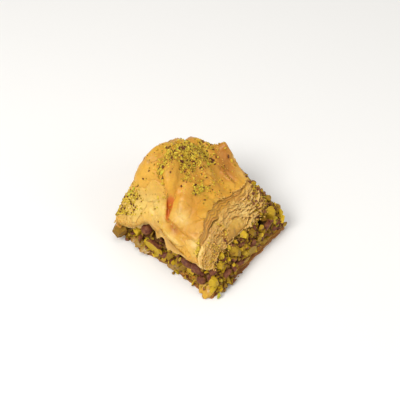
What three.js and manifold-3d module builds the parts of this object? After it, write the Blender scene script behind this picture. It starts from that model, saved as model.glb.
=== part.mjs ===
// One cut piece of pistachio baklava: a few syrup-soaked sheets underneath, a band of chopped
// pistachios, and a puffed stack of crisp sheets on top, dusted with ground nuts.
// Millimetres, +Z up. The piece rests on z = 0, with the middle of its box over the origin.
//
// Every surface is worked out on a plan square: p runs from 0 at the left face to 1 at the back face,
// and q from 0 at the cut front face to 1 at the far face. The top sheet hangs down over the left and
// far faces as a skirt, and the cut and back faces show the edges of the sheets.

import * as THREE from "three";
import { LoftGeometry } from "three/addons/geometries/LoftGeometry.js";
import { ImprovedNoise } from "three/addons/math/ImprovedNoise.js";
import { mergeVertices } from "three/addons/utils/BufferGeometryUtils.js";
import Module from "manifold-3d";

const wasm = await Module();
wasm.setup();

const { lerp, smoothstep, clamp, degToRad } = THREE.MathUtils;
const { Vector2, Vector3 } = THREE;

// ---------------------------------------------------------------- driving dimensions
const corners = {
  front: new Vector2(0, 0),
  right: new Vector2(46, 1.5),
  left: new Vector2(0.5, 50),
  back: new Vector2(46.5, 51),
};
const boxCentre = new Vector2(21.94, 25.84); // middle of the finished piece, moved to the origin
const clearance = 0.35; // between neighbouring solids

const base = {
  thick: 3,
  sheets: 4,
  ragged: 0.4, // how unevenly its outline was cut
  lip: 0.35, // how far the lowest sheet stands out, less for each one above it
  groove: 0.45, // how deep the gap between two sheets goes
  edgeRound: 0.5, // how far its first and last outline stand in
  leftReach: 0.4, // how far it stands out past the plan square on the left
  cutSetBack: 0.8, // and how far in at the cut face
  // where a torn sheet pokes out of the left face: a place along it, half a width and a reach
  flaps: [
    { q: 0.07, half: 0.1, reach: 1.2 },
    { q: 0.76, half: 0.08, reach: 1.6 },
  ],
};

const filling = {
  top: 15,
  rightCornerDrop: 2.8, // its top falls away towards the right-hand corner
  shoulderDrop: 2.4, // and along the cut face
  edgeInset: 0.012, // how far its faces stand in from the plan square
  cutLean: 0.05, // how much further the cut face leans in at its top
  skirtInset: 0.034, // how much further in it stands behind the skirt
  skirtStart: [5.5, 9.5], // heights between which it steps in behind the skirt
  roughness: 0.5,
};

const crust = {
  flat: 22.5, // height of the sheets where nothing puffs them up
  foot: 9.4, // the skirt's lower edge at the far face and the left corner
  rim: 13, // where the top sheet comes down to elsewhere
  hemRise: 4.5, // how much higher the hem hangs along the rest of the left face
  hemRiseFrom: [0.72, 0.92], // places along the left face between which it starts to rise
  // where the hem is drawn up further
  hemLifts: [
    { q: 0.49, half: 0.085, high: 2.5 },
    { q: 0.575, half: 0.05, high: 2.9 },
    { q: 0.755, half: 0.05, high: 2.1 },
    { q: 1, half: 0.04, high: 2.2 },
  ],
  tuck: { q: 0.7, half: 0.13, deep: 3 }, // where the left face is pushed in
  skirt: 1.5, // how far the skirt hangs out past the left face
  bulge: 2.2, // how far the far face leans out
  ear: { half: 0.09, reach: new Vector2(-2.4, 1.2) }, // the sheet's left corner turns outwards
  backEdge: 0.965, // where the top sheet ends at the back face
  footBack: 0.95, // the stack's foot leaves a narrow bare ledge at the back face
  backNotch: { t: 0.04, half: 0.14, deep: 0.075 }, // and where a bite of it is missing
  stepBack: { p: 0.38, half: 0.3, deep: 0.1 }, // where the uppermost sheets end further in
  layers: 7, // sheets that show in the cut faces
  lip: 0.75, // how far a sheet's edge stands out of the face
  wrinkle: 0.35,
};

// What puffs up or pulls down the top sheet: a centre and half sizes on the plan square, a turn in
// degrees, a height and how square its shoulders are.
const swells = {
  dome: { p: 0.47, q: 0.85, along: 0.36, across: 0.335, turn: 0, rise: 16.5, power: 2.7 },
  backPeak: { p: 1, q: 0.64, along: 0.115, across: 0.09, turn: 0, rise: 10, power: 2 },
  backValley: { p: 0.75, q: 0.8, along: 0.06, across: 0.3, turn: -12, rise: -3.9, power: 2 },
  backRidge: { p: 0.82, q: 0.8, along: 0.1, across: 0.14, turn: 0, rise: 4.6, power: 2 },
  farSlope: { p: 0.58, q: 1.03, along: 0.17, across: 0.13, turn: 0, rise: -4.8, power: 2 },
  sunkenFold: { p: 0.2, q: 0.6, along: 0.17, across: 0.05, turn: 16, rise: -3.5, power: 2 },
  frontLobe: { p: 0.34, q: 0.34, along: 0.24, across: 0.09, turn: 8, rise: 2.5, power: 2 },
  leftEar: { p: 0.02, q: 1, along: 0.16, across: 0.16, turn: 0, rise: -4, power: 2 },
};

// The front blister, which stands out over the skirt and ends in a step towards the left and far
// faces: its left edge as p, with a bend about its middle, and its far edge as q, with a slant.
const lobe = {
  rise: 1.7,
  left: 0.075,
  middle: 0.3,
  bend: 0.16,
  far: 0.49,
  slant: 0.6,
  steps: { left: 0.03, far: 0.05 }, // how wide the two steps are
  nearEnd: [0.15, 0.26], // where it grows out of the front end, as q
  fade: [0.25, 0.55], // and where it sinks into the sheet behind it, as p
};

// A smooth air pocket between two sheets of the cut face: how far along, how far up, and its depth.
const pocket = { p: 0.42, share: 0.25, along: 0.1, tall: 0.28, deep: 1.6 };

// Kernels large enough to pick out one by one. at runs along the face, and deep is how far the
// middle lies behind it, less than nothing for one that sticks out.
const kernels = [
  { face: "left", at: 1.0, z: 5.7, size: [3.2, 3.0, 2.35], turn: 0, deep: -1.9 },
  { face: "left", at: 0.87, z: 7.2, size: [2.0, 1.7, 1.7], turn: 20, deep: -0.6 },
  { face: "left", at: 0.8, z: 9.8, size: [2.4, 2.2, 2.1], turn: 0, deep: -1.2 },
  { face: "left", at: 0.65, z: 6.0, size: [4.2, 2.2, 2.0], turn: 14, deep: -0.8 },
  { face: "left", at: 0.5, z: 4.6, size: [2.6, 1.7, 1.6], turn: 20, deep: 0.2 },
  { face: "left", at: 0.4, z: 4.6, size: [2.3, 1.6, 1.7], turn: 60, deep: 0.2 },
  { face: "left", at: 0.31, z: 8.2, size: [3.0, 1.5, 1.4], turn: 14, deep: -0.4 },
  { face: "left", at: 0.2, z: 8.6, size: [2.9, 1.6, 1.5], turn: 16, deep: -0.4 },
  { face: "cut", at: -0.04, z: 9.2, size: [2.3, 2.1, 2.4], turn: 10, deep: 0 },
  { face: "cut", at: 0.09, z: 12.4, size: [2.0, 1.8, 1.9], turn: 30, deep: 0 },
  { face: "cut", at: 0.16, z: 6.6, size: [2.8, 1.8, 1.7], turn: -10, deep: 0.2 },
  { face: "cut", at: 0.32, z: 11.8, size: [3.6, 2.4, 2.8], turn: 35, deep: 0.2 },
  { face: "cut", at: 0.34, z: 4.8, size: [2.8, 1.8, 1.7], turn: 20, deep: 0.4 },
  { face: "cut", at: 0.49, z: 14.0, size: [2.2, 2.0, 2.0], turn: 40, deep: 0 },
  { face: "cut", at: 0.53, z: 6.2, size: [3.8, 1.8, 1.8], turn: 40, deep: 0.3 },
  { face: "cut", at: 0.58, z: 12.8, size: [2.1, 1.7, 1.7], turn: 20, deep: 0.2 },
  { face: "cut", at: 0.78, z: 9.0, size: [3.5, 2.0, 1.9], turn: -25, deep: 0.5 },
  { face: "cut", at: 0.7, z: 4.8, size: [2.5, 1.7, 1.7], turn: -25, deep: 0.3 },
  { face: "cut", at: 0.88, z: 12.2, size: [3.7, 2.4, 2.4], turn: 72, deep: -0.4 },
  { face: "cut", at: 0.93, z: 6.0, size: [2.7, 2.0, 1.9], turn: 10, deep: 0.6 },
  { face: "back", at: 0.3, z: 14.0, size: [2.2, 1.9, 1.8], turn: 25, deep: -0.2 },
  { face: "back", at: 0.17, z: 14.0, size: [2.2, 1.9, 1.8], turn: 40, deep: -0.2 },
  { face: "back", at: 0.12, z: 9.0, size: [2.8, 2.2, 2.3], turn: 25, deep: 0.6 },
  { face: "back", at: 0.3, z: 7.5, size: [3.4, 2.0, 2.2], turn: 15, deep: 0.7 },
  { face: "back", at: 0.62, z: 8.5, size: [3.0, 2.2, 2.0], turn: 40, deep: 0.7 },
  { face: "back", at: 0.82, z: 6.6, size: [2.6, 2.1, 2.2], turn: -15, deep: 0.7 },
  { face: "far", at: 0.42, z: 6.2, size: [3.4, 1.9, 1.8], turn: 25, deep: 0.7 },
  { face: "far", at: 0.72, z: 5.8, size: [2.9, 2.0, 1.8], turn: -30, deep: 0.7 },
];

// Smaller bits, shared out over the faces and the bare ledge at the right-hand corner.
const chips = {
  count: 40,
  radius: [0.8, 1.9],
  seed: 11,
  share: { cut: 0.36, left: 0.55, back: 0.72, far: 0.88, ledge: 1 },
};

// Ground nuts on the top sheet, in drifts: a running share, a middle and half sizes.
const crumbs = {
  count: 68,
  radius: [0.42, 0.85],
  seed: 5,
  drifts: [
    { share: 0.62, p: 0.48, q: 0.7, along: 0.25, across: 0.13 },
    { share: 0.78, p: 0.43, q: 0.5, along: 0.13, across: 0.06 },
    { share: 0.88, p: 0.07, q: 0.92, along: 0.05, across: 0.05 },
    { share: 1, p: 0.4, q: 0.5, along: 0.25, across: 0.25 },
  ],
};

// ---------------------------------------------------------------- helpers
const perlin = new ImprovedNoise();

// A repeatable random draw from 0 to 1.
function makeDraw(seed) {
  let state = seed;
  return () => {
    state = (state + 0x6d2b79f5) | 0;
    let mixed = Math.imul(state ^ (state >>> 15), 1 | state);
    mixed = (mixed + Math.imul(mixed ^ (mixed >>> 7), 61 | mixed)) ^ mixed;
    return ((mixed ^ (mixed >>> 14)) >>> 0) / 2 ** 32;
  };
}

// A round hump from 1 in the middle to 0 about twice the half width away.
function hump(distance, half) {
  return Math.exp(-((distance / half) ** 2));
}

// From 0 at an edge to 1 at the given depth, starting steeply as a pillow's side does.
function pillow(depth, width) {
  const roundness = 2.2;
  const inward = clamp(depth / width, 0, 1);
  return (1 - (1 - inward) ** roundness) ** (1 / roundness);
}

// The place on the ground of a point on the plan square.
function ground(p, q) {
  const cutEdge = corners.front.clone().lerp(corners.right, p);
  const farEdge = corners.left.clone().lerp(corners.back, p);
  return cutEdge.lerp(farEdge, q);
}

const middle = ground(0.5, 0.5);

function outward(x, y) {
  return new Vector2(x - middle.x, y - middle.y).normalize();
}

// Points round the edge of a square that runs from -1 to 1 both ways, counterclockwise.
function squareRing(perSide) {
  const ring = [];
  for (let side = 0; side < 4; side++) {
    for (let i = 0; i < perSide; i++) {
      const along = (2 * i) / perSide - 1;
      ring.push([[along, -1], [1, along], [-along, 1], [-1, -along]][side]);
    }
  }
  return ring;
}

function solidFrom(geometry) {
  const bare = new THREE.BufferGeometry();
  bare.setAttribute("position", geometry.attributes.position);
  bare.setIndex(geometry.index);
  const merged = mergeVertices(bare, 1e-4);
  const mesh = new wasm.Mesh({
    numProp: 3,
    vertProperties: merged.attributes.position.array,
    triVerts: new Uint32Array(merged.index.array),
  });
  return new wasm.Manifold(mesh);
}

function loft(sections) {
  return solidFrom(new LoftGeometry(sections, { capStart: true, capEnd: true }));
}

// The largest body of a solid, without loose scraps.
function mainBody(solid) {
  return solid.decompose().reduce((a, b) => (a.volume() > b.volume() ? a : b));
}

function meshOf(solid, name, colour, roughness) {
  const made = solid.getMesh();
  const geometry = new THREE.BufferGeometry();
  geometry.setAttribute("position", new THREE.BufferAttribute(made.vertProperties, 3));
  geometry.setIndex(new THREE.BufferAttribute(made.triVerts, 1));
  geometry.computeVertexNormals();
  const material = new THREE.MeshStandardMaterial({ color: colour, roughness, metalness: 0 });
  const mesh = new THREE.Mesh(geometry, material);
  mesh.name = name;
  return mesh;
}

// ---------------------------------------------------------------- bits of nut
// A broken kernel: a ball pressed out of round, with a flat split side.
function makeKernel(size, draw) {
  const ball = new THREE.SphereGeometry(1, 7, 5);
  const split = 0.35 + 0.3 * draw();
  const place = ball.attributes.position;
  for (let i = 0; i < place.count; i++) {
    place.setZ(i, Math.max(place.getZ(i), -split));
  }
  ball.rotateY(draw() * 2 * Math.PI);
  return ball.scale(...size);
}

// A chip of random form, cut from a ball of few sides.
function makeChip(radius, draw, ball) {
  const long = radius * (0.8 + 0.7 * draw());
  const flat = radius * (0.55 + 0.4 * draw());
  const turn = () => draw() * 2 * Math.PI;
  return ball.scale(long, radius, flat).rotateX(turn()).rotateY(turn()).rotateZ(turn());
}

// ---------------------------------------------------------------- base sheets
function onBase(p, q, z, out) {
  const place = ground(p, q);
  const away = outward(place.x, place.y);
  const ragged = base.ragged * perlin.noise(place.x * 0.45, place.y * 0.45, z * 0.8);
  place.addScaledVector(away, ragged + out);
  const leftFace = 1 - smoothstep(p, 0, 0.12);
  place.x -= base.leftReach * leftFace;
  place.y += base.cutSetBack * (1 - smoothstep(q, 0, 0.12));
  base.flaps.forEach((flap) => {
    place.x -= flap.reach * leftFace * hump(q - flap.q, flap.half);
  });
  return new Vector3(place.x, place.y, z);
}

function makeBase() {
  const ring = squareRing(15);
  const section = (z, out) => ring.map(([s, t]) => onBase((1 + s) / 2, (1 + t) / 2, z, out));
  const sections = [section(0, -base.edgeRound)];
  const sheetThick = base.thick / base.sheets;
  for (let k = 0; k < base.sheets; k++) {
    const lip = base.lip * (1 - k / base.sheets);
    sections.push(section((k + 0.25) * sheetThick, lip));
    sections.push(section((k + 0.85) * sheetThick, lip - base.groove));
  }
  sections.push(section(base.thick, -2 * base.edgeRound));
  return loft(sections);
}

// ---------------------------------------------------------------- puffed crust, the form
function swell(p, q, { p: atP, q: atQ, along, across, turn, rise, power }) {
  const cos = Math.cos(degToRad(turn));
  const sin = Math.sin(degToRad(turn));
  const a = ((p - atP) * cos + (q - atQ) * sin) / along;
  const b = ((q - atQ) * cos - (p - atP) * sin) / across;
  return rise * Math.exp(-(Math.abs(a) ** power) - Math.abs(b) ** power);
}

// Height of the skirt's hem along the left face.
function hemHeight(q) {
  const frontCorner = 1 - smoothstep(q, 0, 0.25);
  const rise = crust.hemRise * (1 - smoothstep(q, ...crust.hemRiseFrom));
  return crust.hemLifts.reduce(
    (z, { q: at, half, high }) => z + high * hump(q - at, half),
    crust.foot + rise + frontCorner,
  );
}

// How far the left face is pushed in.
function tuckAt(q) {
  return crust.tuck.deep * hump(q - crust.tuck.q, crust.tuck.half);
}

// How far the front blister stands out of the sheet around it.
function lobeAt(p, q) {
  const left = lobe.left + lobe.bend * (q - lobe.middle) ** 2;
  const far = lobe.far + lobe.slant * p;
  const across = smoothstep(p, left, left + lobe.steps.left) * (1 - smoothstep(p, ...lobe.fade));
  const along = smoothstep(q, ...lobe.nearEnd) * (1 - smoothstep(q, far, far + lobe.steps.far));
  return lobe.rise * across * along;
}

// Height of the top sheet above a point of the plan square.
function crustHeight(p, q) {
  const open = Object.values(swells).reduce((z, each) => z + swell(p, q, each), crust.flat);
  const edge = pillow(p, 0.26) * pillow(1.03 - p, 0.12) * pillow(1 - q, 0.09);
  const leftRim = lerp(crust.rim, hemHeight(q), 1 - smoothstep(p, 0, 0.3));
  const rim = lerp(leftRim, crust.foot, smoothstep(q, 0.9, 1));
  const wrinkle = crust.wrinkle * perlin.noise(p * 9, q * 9, 2.5) * edge;
  return lerp(rim, open, edge) + wrinkle + lobeAt(p, q);
}

// A point on the top sheet, which leans out over the left and far faces.
function onCrust(p, q) {
  const place = ground(p, q);
  const z = crustHeight(p, q);
  const ear = hump(p, crust.ear.half) * hump(1 - q, crust.ear.half);
  place.x += (tuckAt(q) - crust.skirt) * (1 - smoothstep(p, 0, 0.25));
  place.y += crust.bulge * smoothstep(q, 0.8, 1) * smoothstep(z, crust.foot, crust.flat);
  place.addScaledVector(crust.ear.reach, ear);
  return new Vector3(place.x, place.y, z);
}

// The line where the top sheet was cut through, as q for each p.
function cutLine(p) {
  const { p: at, half, deep } = crust.stepBack;
  const uneven = 0.006 * Math.sin(p * 31) + 0.005 * Math.sin(p * 67);
  return 0.12 + 0.22 * p ** 0.5 + deep * hump(p - at, half) + uneven;
}

// A point of the top sheet's own square, from -1 to 1 both ways out to its cut edges.
function onTopSheet(s, t) {
  const across = (1 + t) / 2;
  const notch = crust.backNotch.deep * hump(across - crust.backNotch.t, crust.backNotch.half);
  const p = lerp(0, crust.backEdge - notch, (1 + s) / 2);
  return onCrust(p, lerp(cutLine(p), 1, across));
}

// How far the stack's foot stands back from the cut face, as q for each p.
function crustRecede(p) {
  return 0.055 + 0.05 * smoothstep(p, 0, 0.2) + 0.1 * smoothstep(p, 0.8, 1);
}

// Height of the stack's foot: on the filling, and lower where it hangs as a skirt.
function crustFoot(p, q) {
  const left = lerp(filling.top + 2 * clearance, hemHeight(q), 1 - smoothstep(p, 0, 0.07));
  return lerp(left, crust.foot, smoothstep(q, 0.93, 0.99));
}

function onCrustFoot(s, t) {
  const p = lerp(0.006, crust.footBack, (1 + s) / 2);
  const q = lerp(crustRecede(p), 0.992, (1 + t) / 2);
  const place = ground(p, q);
  place.x += tuckAt(q) * (1 - smoothstep(p, 0, 0.3));
  return new Vector3(place.x, place.y, crustFoot(p, q));
}

// ---------------------------------------------------------------- nut filling
function fillingTop(p, q) {
  const rightCorner = smoothstep(p, 0.6, 1) * (1 - smoothstep(q, 0.05, 0.4));
  const shoulder = 1 - smoothstep(q, 0, 0.07);
  return filling.top - filling.rightCornerDrop * rightCorner - filling.shoulderDrop * shoulder;
}

// A point of the filling's skin. level runs from 0 at its foot to 1 at its top.
function onFilling(s, t, level, grow) {
  const p = (1 + s) / 2;
  const q = (1 + t) / 2;
  const z = lerp(base.thick + clearance, fillingTop(p, q), level);
  const behindSkirt = smoothstep(z, ...filling.skirtStart);
  const skirtInset = filling.edgeInset + filling.skirtInset * behindSkirt;
  const cutInset = filling.edgeInset + filling.cutLean * smoothstep(z, 6, filling.top);
  const place = ground(
    lerp(skirtInset, 1 - filling.edgeInset, p),
    lerp(cutInset, 1 - skirtInset, q),
  );
  place.x += behindSkirt * tuckAt(q) * (1 - p);
  const nearSkirt = Math.max(1 - smoothstep(p, 0, 0.03), smoothstep(q, 0.97, 1));
  const rough = filling.roughness * perlin.noise(place.x * 0.55, place.y * 0.55, z * 0.55);
  place.addScaledVector(outward(place.x, place.y), rough * (1 - behindSkirt * nearSkirt) + grow);
  const lift = level > 0.5 ? grow : -3 * grow;
  return new Vector3(place.x, place.y, z + lift);
}

function makeFillingCore(grow) {
  const ring = squareRing(15);
  const levels = [0, 0.18, 0.38, 0.56, 0.74, 0.9, 1];
  const inner = [0.85, 0.6, 0.3, 0.05];
  return loft([
    ...levels.map((level) => ring.map(([s, t]) => onFilling(s, t, level, grow))),
    ...inner.map((r) => ring.map(([s, t]) => onFilling(r * s, r * t, 1, grow))),
  ]);
}

// Where a bit of nut sits on a face: its middle, the way out, and the highest it may reach.
const faces = {
  cut: { spot: (u) => [u, -1], out: new Vector3(0, -1, 0) },
  back: { spot: (u) => [1, u], out: new Vector3(1, 0, 0) },
  far: { spot: (u) => [u, 1], out: new Vector3(0, 1, 0) },
  left: { spot: (u) => [-1, u], out: new Vector3(-1, 0, 0) },
};

function spotOnFace(name, at, z) {
  const { spot, out } = faces[name];
  const [s, t] = spot(2 * at - 1);
  const p = (1 + s) / 2;
  const q = (1 + t) / 2;
  const low = base.thick + clearance;
  const level = clamp((z - low) / (fillingTop(p, q) - low), 0, 1);
  const ceiling = crustFoot(p, q) - crust.lip - clearance;
  return { middle: onFilling(s, t, level, 0), out, ceiling };
}

// A place on the bare ledge at the right-hand corner, clear of the crust's foot.
function spotOnLedge(draw) {
  const p = lerp(0.2, 0.97, draw());
  const q = lerp(0.02, crustRecede(p) - 0.06, draw());
  return {
    middle: onFilling(2 * p - 1, 2 * q - 1, 1, 0),
    out: new Vector3(0, 0, 1),
    ceiling: filling.top,
  };
}

// Sets a bit of nut into its spot, between the base and the crust. One that doesn't fit is left out.
function setBit(shape, { middle: spot, out, ceiling }, deep) {
  shape.computeBoundingBox();
  const lowest = base.thick + clearance - shape.boundingBox.min.z;
  const highest = ceiling - shape.boundingBox.max.z;
  if (lowest > highest) return [];
  const place = spot.addScaledVector(out, -deep);
  shape.translate(place.x, place.y, clamp(place.z, lowest, highest));
  return [solidFrom(shape)];
}

function makeFilling() {
  const draw = makeDraw(chips.seed);
  const pieces = [makeFillingCore(0)];
  for (const { face, at, z, size, turn, deep } of kernels) {
    const runsAlongX = face === "cut" || face === "far";
    const kernel = makeKernel(size, draw).rotateY(degToRad(turn));
    kernel.rotateZ(runsAlongX ? 0 : Math.PI / 2);
    pieces.push(...setBit(kernel, spotOnFace(face, at, z), deep));
  }
  for (let i = 0; i < chips.count; i++) {
    const pick = draw();
    const [face] = Object.entries(chips.share).find(([, limit]) => pick < limit);
    const radius = lerp(...chips.radius, draw() ** 1.6);
    const chip = makeChip(radius, draw, new THREE.IcosahedronGeometry(1, 0));
    const height = lerp(base.thick, filling.top, draw());
    const spot = face === "ledge" ? spotOnLedge(draw) : spotOnFace(face, draw(), height);
    pieces.push(...setBit(chip, spot, 0));
  }
  return wasm.Manifold.union(pieces);
}

// ---------------------------------------------------------------- puffed crust, the solid
// A point of the sides, between the foot and the top sheet's edge. Sheets' edges stand out as wavy
// lips, and fade where the side is low and in the air pocket.
function onStackSide(s, t, share, lip, seed) {
  const foot = onCrustFoot(s, t);
  const top = onTopSheet(s, t);
  const fade = clamp(foot.distanceTo(top) / 7, 0.12, 1);
  const point = foot.lerp(top, share);
  const wave = perlin.noise(point.x * 0.22, point.y * 0.22, seed);
  const onCutFace = t === -1 ? 1 : 0;
  const alongPocket = hump((1 + s) / 2 - pocket.p, pocket.along);
  const hollow = onCutFace * alongPocket * hump(share - pocket.share, pocket.tall);
  const out = crust.lip * fade * (lip + 0.9 * wave) * (1 - hollow) - pocket.deep * hollow;
  const away = outward(point.x, point.y);
  return new Vector3(point.x + away.x * out, point.y + away.y * out, point.z + 0.5 * fade * wave);
}

function makeStack() {
  const ring = squareRing(18);
  // the underside closes below the skirt, where the filling then cuts it away
  const hub = ring.map(([s, t]) => {
    const way = new Vector2(s, t).normalize();
    return new Vector3(middle.x + way.x, middle.y + way.y, crust.foot - 2);
  });
  const sections = [hub, ring.map(([s, t]) => onCrustFoot(s, t))];
  for (let k = 0; k < crust.layers; k++) {
    for (const [part, lip] of [[0.15, 1], [0.8, -0.35]]) {
      const share = (k + part) / crust.layers;
      sections.push(ring.map(([s, t]) => onStackSide(s, t, share, lip, k * 1.7)));
    }
  }
  const topRings = 14;
  for (let i = 0; i < topRings; i++) {
    const r = Math.cos((Math.PI / 2) * (i / topRings));
    const spread = ([s, t]) => r * lerp(1 / Math.hypot(s, t), 1, r); // square outside, round inside
    sections.push(ring.map((at) => onTopSheet(at[0] * spread(at), at[1] * spread(at))));
  }
  return loft(sections);
}

function crumbPlace(draw) {
  const pick = draw();
  const drift = crumbs.drifts.find(({ share }) => pick < share);
  const turn = draw() * 2 * Math.PI;
  const far = Math.sqrt(-Math.log(1 - 0.98 * draw()));
  const p = clamp(drift.p + drift.along * far * Math.cos(turn), 0.05, 0.9);
  const q = clamp(drift.q + drift.across * far * Math.sin(turn), cutLine(p) + 0.04, 0.95);
  return onCrust(p, q);
}

function makeCrumbs() {
  const draw = makeDraw(crumbs.seed);
  return Array.from({ length: crumbs.count }, () => {
    const radius = lerp(...crumbs.radius, draw());
    const place = crumbPlace(draw);
    const crumb = makeChip(radius, draw, new THREE.OctahedronGeometry(1.15, 0));
    return solidFrom(crumb.translate(place.x, place.y, place.z + 0.1 * radius));
  });
}

// ---------------------------------------------------------------- assembly
const dustedStack = wasm.Manifold.union([makeStack(), ...makeCrumbs()]);
const crustSolid = mainBody(dustedStack.subtract(makeFillingCore(clearance)));

const piece = new THREE.Group();
piece.add(meshOf(mainBody(makeBase()), "base_sheets", 0xb9783a, 0.45));
piece.add(meshOf(mainBody(makeFilling()), "nut_filling", 0x8f8240, 0.6));
piece.add(meshOf(crustSolid, "puffed_crust", 0xe0ad55, 0.5));
piece.position.set(-boxCentre.x, -boxCentre.y, 0);

const baklava = new THREE.Group();
baklava.add(piece);

export default baklava;
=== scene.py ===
# One cut piece of pistachio baklava: a puffed stack of crisp sheets that run right through it,
# chopped kernels packed round a syrupy core, soaked sheets underneath and ground nuts on top.
import math

import bmesh
import bpy
import numpy as np
from mathutils import Matrix, Vector, bvhtree, noise


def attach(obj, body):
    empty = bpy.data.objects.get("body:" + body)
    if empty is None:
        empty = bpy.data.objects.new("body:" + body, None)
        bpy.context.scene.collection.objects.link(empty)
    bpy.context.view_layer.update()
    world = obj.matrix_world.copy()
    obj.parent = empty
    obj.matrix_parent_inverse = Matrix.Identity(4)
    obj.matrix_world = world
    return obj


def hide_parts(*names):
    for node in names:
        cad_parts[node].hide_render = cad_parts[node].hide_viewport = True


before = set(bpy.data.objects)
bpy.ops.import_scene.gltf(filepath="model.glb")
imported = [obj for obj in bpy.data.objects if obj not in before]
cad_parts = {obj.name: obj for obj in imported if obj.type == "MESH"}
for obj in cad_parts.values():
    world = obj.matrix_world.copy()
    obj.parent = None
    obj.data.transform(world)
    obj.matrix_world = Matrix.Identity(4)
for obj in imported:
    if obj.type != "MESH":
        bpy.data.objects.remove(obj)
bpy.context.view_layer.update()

mm = 0.001

# Shapes are worked out in millimetres on a plan square: p runs from 0 at the left face to 1 at the
# back face, and q from 0 at the cut front face to 1 at the far face.
plan = {
    "front": (0, 0),
    "right": (46, 1.5),
    "left": (0.5, 50),
    "back": (46.5, 51),
    "wide": 46,  # from p = 0 to 1
    "long": 50,  # from q = 0 to 1
    "middle": (21.94, 25.84, 0),  # this point of the plan stands at the origin
}

crust = {
    "flat": 22.5,  # height of the sheets where nothing puffs them up
    "foot": 9.4,  # the skirt's lower edge at the far face and the left corner
    "rim": 13.0,  # where the top sheet comes down to elsewhere
    "rounds": (0.26, 0.12, 0.09),  # how far in from the left, back and far faces it rounds down
    "backEnd": 1.03,  # where it would reach the rim's height at the back face
    "hemRise": 4.5,  # how much higher the hem hangs along the rest of the left face
    "hemRiseEnds": (0.72, 0.92),
    "frontRise": 0.25,  # how far from the front corner it hangs up to 1 mm higher still
    # where it is drawn up further: places along it, half widths and heights
    "hemLifts": [(0.49, 0.085, 2.5), (0.575, 0.05, 2.9), (0.755, 0.05, 2.1), (1.0, 0.04, 2.2)],
    "tuck": (0.7, 0.13, 3.0),  # where the left face is pushed in
    "floor": 15.7,  # underside of the stack, over the filling
    "skirt": 1.5,  # how far the skirt hangs out past the left face
    "bulge": 2.2,  # how far the far face leans out
    "earHalf": 0.09,
    "earReach": (-2.4, 1.2),  # the sheet's left corner turns outwards
    "backEdge": 0.965,  # p where the top sheet ends
    "footBack": 0.95,  # the stack's foot leaves a narrow bare ledge at the back face
    "footRecede": (0.055, 0.05, 0.1),  # and a wider one at the cut face, at its ends wider still
    "notchAt": 0.04,  # a bite out of the back edge: a place along it, half a width and a depth
    "notchHalf": 0.14,
    "notchDeep": 0.075,
}

# What puffs up or pulls down the sheets: middle, half sizes, turn in degrees, height, squareness.
swells = {
    "dome": (0.47, 0.85, 0.36, 0.335, 0, 16.5, 2.7),
    "backPeak": (1.0, 0.64, 0.115, 0.09, 0, 10, 2),
    "backValley": (0.75, 0.8, 0.06, 0.3, -12, -3.9, 2),
    "sunkenFold": (0.2, 0.6, 0.17, 0.05, 16, -3.5, 2),
    "frontLobe": (0.34, 0.34, 0.24, 0.09, 8, 2.5, 2),
    "leftEar": (0.02, 1.0, 0.16, 0.16, 0, -4, 2),
    "backRidge": (0.82, 0.8, 0.1, 0.14, 0, 4.6, 2),
    "farSlope": (0.58, 1.03, 0.17, 0.13, 0, -4.8, 2),
}


def smooth(value, low, high):
    part = capped((np.asarray(value, float) - low) / (high - low))
    return part * part * (3 - 2 * part)


def between(first, second, part):
    return first + (second - first) * part


def hump(distance, half):
    return np.exp(-((distance / half) ** 2))


def capped(value):
    return np.clip(value, 0, 1)


# A drawn value between two, the nearer to the first the higher the power.
def skewed(draw, ends, power):
    return between(*ends, draw.uniform() ** power)


# One of a dictionary's names, by their shares.
def drawName(draw, shares):
    return draw.choice(list(shares), p=list(shares.values()))


# From 1 at an edge to 0 at the given depth.
def atEdge(depth, reach):
    return 1 - smooth(depth, 0, reach)


# From 0 at an edge to 1 at the given depth, starting steeply as a pillow's side does.
def pillow(depth, width):
    roundness = 2.2
    inward = capped(depth / width)
    return (1 - (1 - inward) ** roundness) ** (1 / roundness)


# How far places lie from a patch's middle along its own turned axes, 1 being its half size.
def awayFrom(patch, p, q):
    atP, atQ, along, across, turn = patch[:5]
    cos = math.cos(math.radians(turn))
    sin = math.sin(math.radians(turn))
    a = ((p - atP) * cos + (q - atQ) * sin) / along
    b = ((q - atQ) * cos - (p - atP) * sin) / across
    return a, b


# The place that lies that far from a patch's middle.
def placeOn(patch, a, b):
    atP, atQ, along, across, turn = patch[:5]
    cos = math.cos(math.radians(turn))
    sin = math.sin(math.radians(turn))
    a = a * along
    b = b * across
    return atP + a * cos - b * sin, atQ + a * sin + b * cos


def swell(p, q, shape):
    a, b = awayFrom(shape, p, q)
    rise, power = shape[5:]
    return rise * np.exp(-np.abs(a) ** power - np.abs(b) ** power)


# Points from their coordinates, each an array or one number for all.
def pointsAt(x, y, z):
    return np.stack(np.broadcast_arrays(x, y, z), axis=-1)


def raised(place, height):
    return pointsAt(place[..., 0], place[..., 1], height)


def ground(p, q):
    front, right, left, back = (np.array(plan[name], float) for name in ("front", "right", "left", "back"))
    p = np.asarray(p, float)[..., None]
    q = np.asarray(q, float)[..., None]
    return between(between(front, right, p), between(left, back, p), q)


# Height of the hem along the left face.
def hemHeight(q):
    lifts = sum(high * hump(q - at, half) for at, half, high in crust["hemLifts"])
    rise = crust["hemRise"] * (1 - smooth(q, *crust["hemRiseEnds"])) + atEdge(q, crust["frontRise"])
    return crust["foot"] + rise + lifts


# How far the left face is pushed in.
def tuckAt(q):
    at, half, deep = crust["tuck"]
    return deep * hump(q - at, half)


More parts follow.
